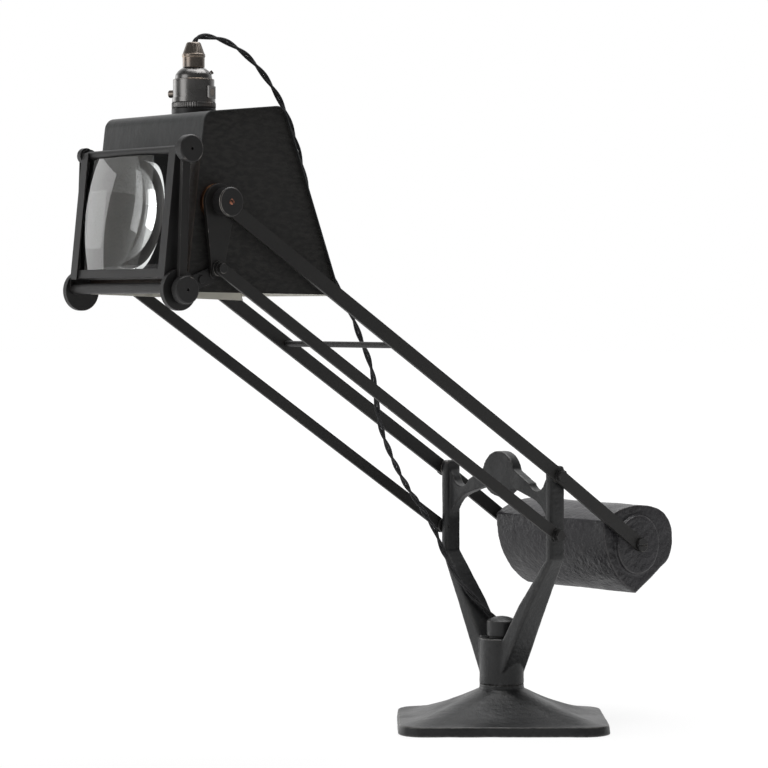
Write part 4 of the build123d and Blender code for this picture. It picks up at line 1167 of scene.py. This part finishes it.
class LAMP_OT_cord(LampOperator):
    """The twisted cotton flex, in one stretch for each joint that it crosses."""

    bl_idname = "lamp.cord"
    bl_label = "Flex"

    # Node, its first and last point of the route, and the bodies at its two ends
    stretches = (
        ("cord_from_holder", 0, 8, "head", "head_bracket"),
        ("cord_behind_head", 8, 12, "head_bracket", "upper_arm"),
        ("cord_beside_arms", 12, 19, "upper_arm", "yoke"),
        ("cord_down_yoke", 19, len(route) - 1, "yoke", "base"),
    )

    def execute(self, context):
        phase = 0.0
        for node, first, last, body, other in self.stretches:
            inner = route[first + 1: last + 1] if last < len(route) - 1 else route[first + 1: last]
            start = route[first] if first == 0 else halfway(route[first], route[first + 1])
            end = route[last] if last == len(route) - 1 else halfway(route[last], route[last + 1])
            line = spline_points(node, [start, *inner, end])
            leaning = np.linspace(0, 1, len(line))[:, None] if other == "base" else 0.0
            reference = np.array((1.0, 0.0, 0.0)) * (1 - leaning) + np.array((0.0, 0.0, -1.0)) * leaning
            phase = self.stretch(node, line, phase, reference, (body, other), "object", ())
        coil = coil_points()
        tail = tail_points(coil)
        upright = np.array((0.0, 0.0, -1.0))
        line = spline_points("cord_coil", [route[-1], *coil, tail[0]], 4)
        phase = self.stretch("cord_coil", line, phase, upright, None, "object", ())
        line = spline_points("cord_tail", tail)
        plug = bpy.data.objects["plug_moulded"]
        pins = bpy.data.objects["plug_pins_rounded"]
        self.stretch("cord_tail", line, phase, upright, None, "plug", (plug, pins))
        return {"FINISHED"}

    def stretch(self, node, line, phase, reference, bodies, far_end, with_pieces):
        """One stretch of the pair; one that has bodies is fixed where it lies, and one without rides on the
        base.
        """
        sizes = self.sizes
        name = node.replace("cord_", "flex_")
        piece, phase = twisted_pair(name, line, phase, reference, sizes.cord, sizes.cord_lay)
        give(piece, "cloth")
        if bodies:
            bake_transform(piece)
        else:
            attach(piece, "base")
        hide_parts(node)
        return phase


class LAMP_OT_plug(LampOperator):
    """The round plug, with finger flutes, and its pins. Its radius grows along the neck by
    3 t squared - 2 t cubed, and round it a point is at front + distance + radius (cos a, sin a)."""

    bl_idname = "lamp.plug"
    bl_label = "Plug"

    def execute(self, context):
        front = np.array(behind(plug_away, plug_aside, plug_radius))
        way = np.array((away[0], away[1], 0.0))
        side = np.array((across[0], across[1], 0.0))
        up = np.array((0.0, 0.0, 1.0))
        neck = 0.011
        body = 0.026
        neck_radius = 0.006
        rim = 0.0015
        flute_depth = 0.0007
        flute_pitch = 0.0032
        flute_from = 0.72
        distance = np.concatenate([
            [0.0, 0.0], np.linspace(0.0, neck, 12), neck + np.linspace(0.0008, body - rim, 24),
            neck + body - rim * (1 - np.sin(np.linspace(0.2, math.pi / 2, 5))), [neck + body] * 2,
        ])
        reach = (distance / neck).clip(0, 1)
        radius = neck_radius + (plug_radius - neck_radius) * reach**2 * (3 - 2 * reach)
        rounding = ((distance - (neck + body - rim)) / rim).clip(0, 1)
        radius = radius - rim * (1 - np.sqrt(1 - rounding**2))
        radius[0] = 0.0
        radius[-1] = 0.0
        angle = np.linspace(0, math.tau, 144, endpoint=False)
        fluted = ((distance > neck + 0.003) & (distance < neck + body - 0.004))[:, None]
        on_side = np.abs(np.cos(angle))[None] > flute_from
        ripple = 0.5 - 0.5 * np.cos(distance * math.tau / flute_pitch)
        radii = radius[:, None] - flute_depth * fluted * on_side * ripple[:, None]
        points = (
            front
            + distance[:, None, None] * way
            + (radii * np.cos(angle))[..., None] * side
            + (radii * np.sin(angle))[..., None] * up
        )
        plug = grid_piece("plug_moulded", points, True, False, sharp=40)
        give(plug, "plug")
        settle(plug, "plug_body")
        pin_edge = 0.0006
        pins = rounded_copy("plug_pins", pin_edge, "brass", "brass")
        pins.name = "plug_pins_rounded"
        return {"FINISHED"}


class LAMP_OT_stage(LampOperator):
    """A white floor and room, three softboxes, and the camera at the photograph's angle."""

    bl_idname = "lamp.stage"
    bl_label = "Stage"

    focal_px = 2803.0
    image_px = 768.0
    camera_place = (1.9710, -1.8531, 0.4023)
    camera_way = (-0.7567, 0.6537)
    camera_drop = math.radians(1.504)
    backdrop_way = (-0.757, 0.654, 0.0)

    def execute(self, context):
        scene = context.scene
        scene.view_settings.view_transform = "Standard"
        self.camera(scene)
        self.floor()
        self.room(scene)
        self.lights(scene.lamp_studio)
        return {"FINISHED"}

    def camera(self, scene):
        data = bpy.data.cameras.new("camera")
        data.sensor_width = 36.0
        data.lens = self.focal_px / self.image_px * data.sensor_width
        data.clip_end = 100.0
        level = math.cos(self.camera_drop)
        way = (self.camera_way[0] * level, self.camera_way[1] * level, -math.sin(self.camera_drop))
        scene.camera = self.aimed("camera", data, self.camera_place, Vector(way))

    def aimed(self, name, data, place, way):
        """A camera or a light at a place, looking along a way."""
        thing = linked(name, data)
        thing.location = place
        thing.rotation_mode = "QUATERNION"
        thing.rotation_quaternion = way.to_track_quat("-Z", "Y")
        return thing

    def seen_directly(self, shade):
        """1 for what the camera sees, by itself or through glass, and 1 for what shows in a mirror.

        Light that a dull surface gathers through the lens isn't seen directly, and what the lens
        mirrors inside itself is only partly seen."""
        through = shade.ray("Is Transmission Ray")
        gathered = shade.ray("Diffuse Depth").at_most_one()
        mirrored = shade.ray("Glossy Depth").at_most_one()
        direct = shade.ray("Is Camera Ray") + through * (1 - gathered) * (1 - 0.65 * mirrored)
        return direct, shade.ray("Is Glossy Ray")

    def floor(self):
        """A large disc; its own paint is pale, and what is lit of it shows as white."""
        angle = np.linspace(0, math.tau, 96, endpoint=False)
        radius = np.array((0.001, 1.0, 6.0, 24.0))[:, None]
        points = np.stack(np.broadcast_arrays(
            radius * np.cos(angle), radius * np.sin(angle), 0.0 * radius * angle
        ), axis=-1)
        floor = grid_piece("floor", points, True, False)
        material = bpy.data.materials.new("floor_white")
        material.use_nodes = True
        shade = Shade(material.node_tree)
        direct, gloss = self.seen_directly(shade)
        reach = shade.add("VectorMath", {"operation": "LENGTH"}, {0: shade.place()}, "Value")
        share = direct * (0.8 + 0.2 * reach.steps(0.6, 2.0)) + gloss * 0.5
        pale = shade.add("BsdfDiffuse", None, {"Color": (0.80, 0.80, 0.80, 1.0)})
        glow = shade.add("Emission", None, {"Color": (1.0, 1.0, 1.0, 1.0), "Strength": 1.09})
        mixed = shade.add("MixShader", None, {0: share, 1: pale, 2: glow})
        shade.add("OutputMaterial", None, {"Surface": mixed})
        floor.data.materials.append(material)

    def room(self, scene):
        """White where it is seen directly; otherwise a bright backdrop behind the lamp and a dim room."""
        world = bpy.data.worlds.new("room")
        world.use_nodes = True
        scene.world = world
        shade = Shade(world.node_tree)
        direct, gloss = self.seen_directly(shade)
        way = shade.add("TexCoord", output="Generated")
        dot = {"operation": "DOT_PRODUCT"}
        toward = shade.add("VectorMath", dot, {0: way, 1: self.backdrop_way}, "Value")
        backdrop = toward.steps(0.15, 0.85)
        fill = scene.lamp_studio.fill
        lit = fill + backdrop * (0.45 + 0.4 * gloss)
        strength = lit + (1.0 - lit) * direct
        white = shade.add("Background", None, {"Color": (1.0, 1.0, 1.0, 1.0), "Strength": strength})
        shade.add("OutputWorld", None, {"Surface": white})

    def lights(self, studio):
        for name, place, target, width, height, power in (
            ("softbox_key", (-0.25, -2.10, 0.95), (0.0, -0.25, 0.35), 1.1, 1.1, studio.key),
            ("softbox_rim", (-1.60, -0.765, 0.515), (0.0, -0.44, 0.515), 0.96, 0.99, studio.rim),
            ("softbox_top", (-0.1, 0.1, 1.9), (0.0, -0.1, 0.2), 1.4, 1.4, studio.top),
        ):
            data = bpy.data.lights.new(name, "AREA")
            data.shape = "RECTANGLE"
            data.size = width
            data.size_y = height
            data.energy = power
            self.aimed(name, data, place, Vector(target) - Vector(place))


class LAMP_PT_panel(bpy.types.Panel):
    """Lists the lamp's operators in the sidebar."""

    bl_idname = "LAMP_PT_panel"
    bl_label = "Magnifier Lamp"
    bl_space_type = "VIEW_3D"
    bl_region_type = "UI"
    bl_category = "Magnifier Lamp"

    def draw(self, context):
        scene = context.scene
        for group in (scene.lamp_colours, scene.lamp_sizes, scene.lamp_studio):
            box = self.layout.box()
            for key in group.__annotations__:
                box.prop(group, key)
        for operator in operators:
            self.layout.operator(operator.bl_idname)


groups = (LampColours, LampSizes, LampStudio)
operators = (
    LAMP_OT_finishes,
    LAMP_OT_stage,
    LAMP_OT_plug,
    LAMP_OT_cord,
    LAMP_OT_castings,
    LAMP_OT_base_fittings,
    LAMP_OT_arms,
    LAMP_OT_head_mount,
    LAMP_OT_housing,
    LAMP_OT_lampholder,
    LAMP_OT_bulb,
    LAMP_OT_lens,
    LAMP_OT_lens_frame,
)


def register():
    for group in (*groups, *operators, LAMP_PT_panel):
        bpy.utils.register_class(group)
    bpy.types.Scene.lamp_colours = bpy.props.PointerProperty(type=LampColours)
    bpy.types.Scene.lamp_sizes = bpy.props.PointerProperty(type=LampSizes)
    bpy.types.Scene.lamp_studio = bpy.props.PointerProperty(type=LampStudio)


def unregister():
    del bpy.types.Scene.lamp_studio
    del bpy.types.Scene.lamp_sizes
    del bpy.types.Scene.lamp_colours
    for group in reversed((*groups, *operators, LAMP_PT_panel)):
        bpy.utils.unregister_class(group)


def main():
    register()
    for operator in operators:
        category, name = operator.bl_idname.split(".")
        getattr(getattr(bpy.ops, category), name)()


if __name__ == "__main__":
    main()
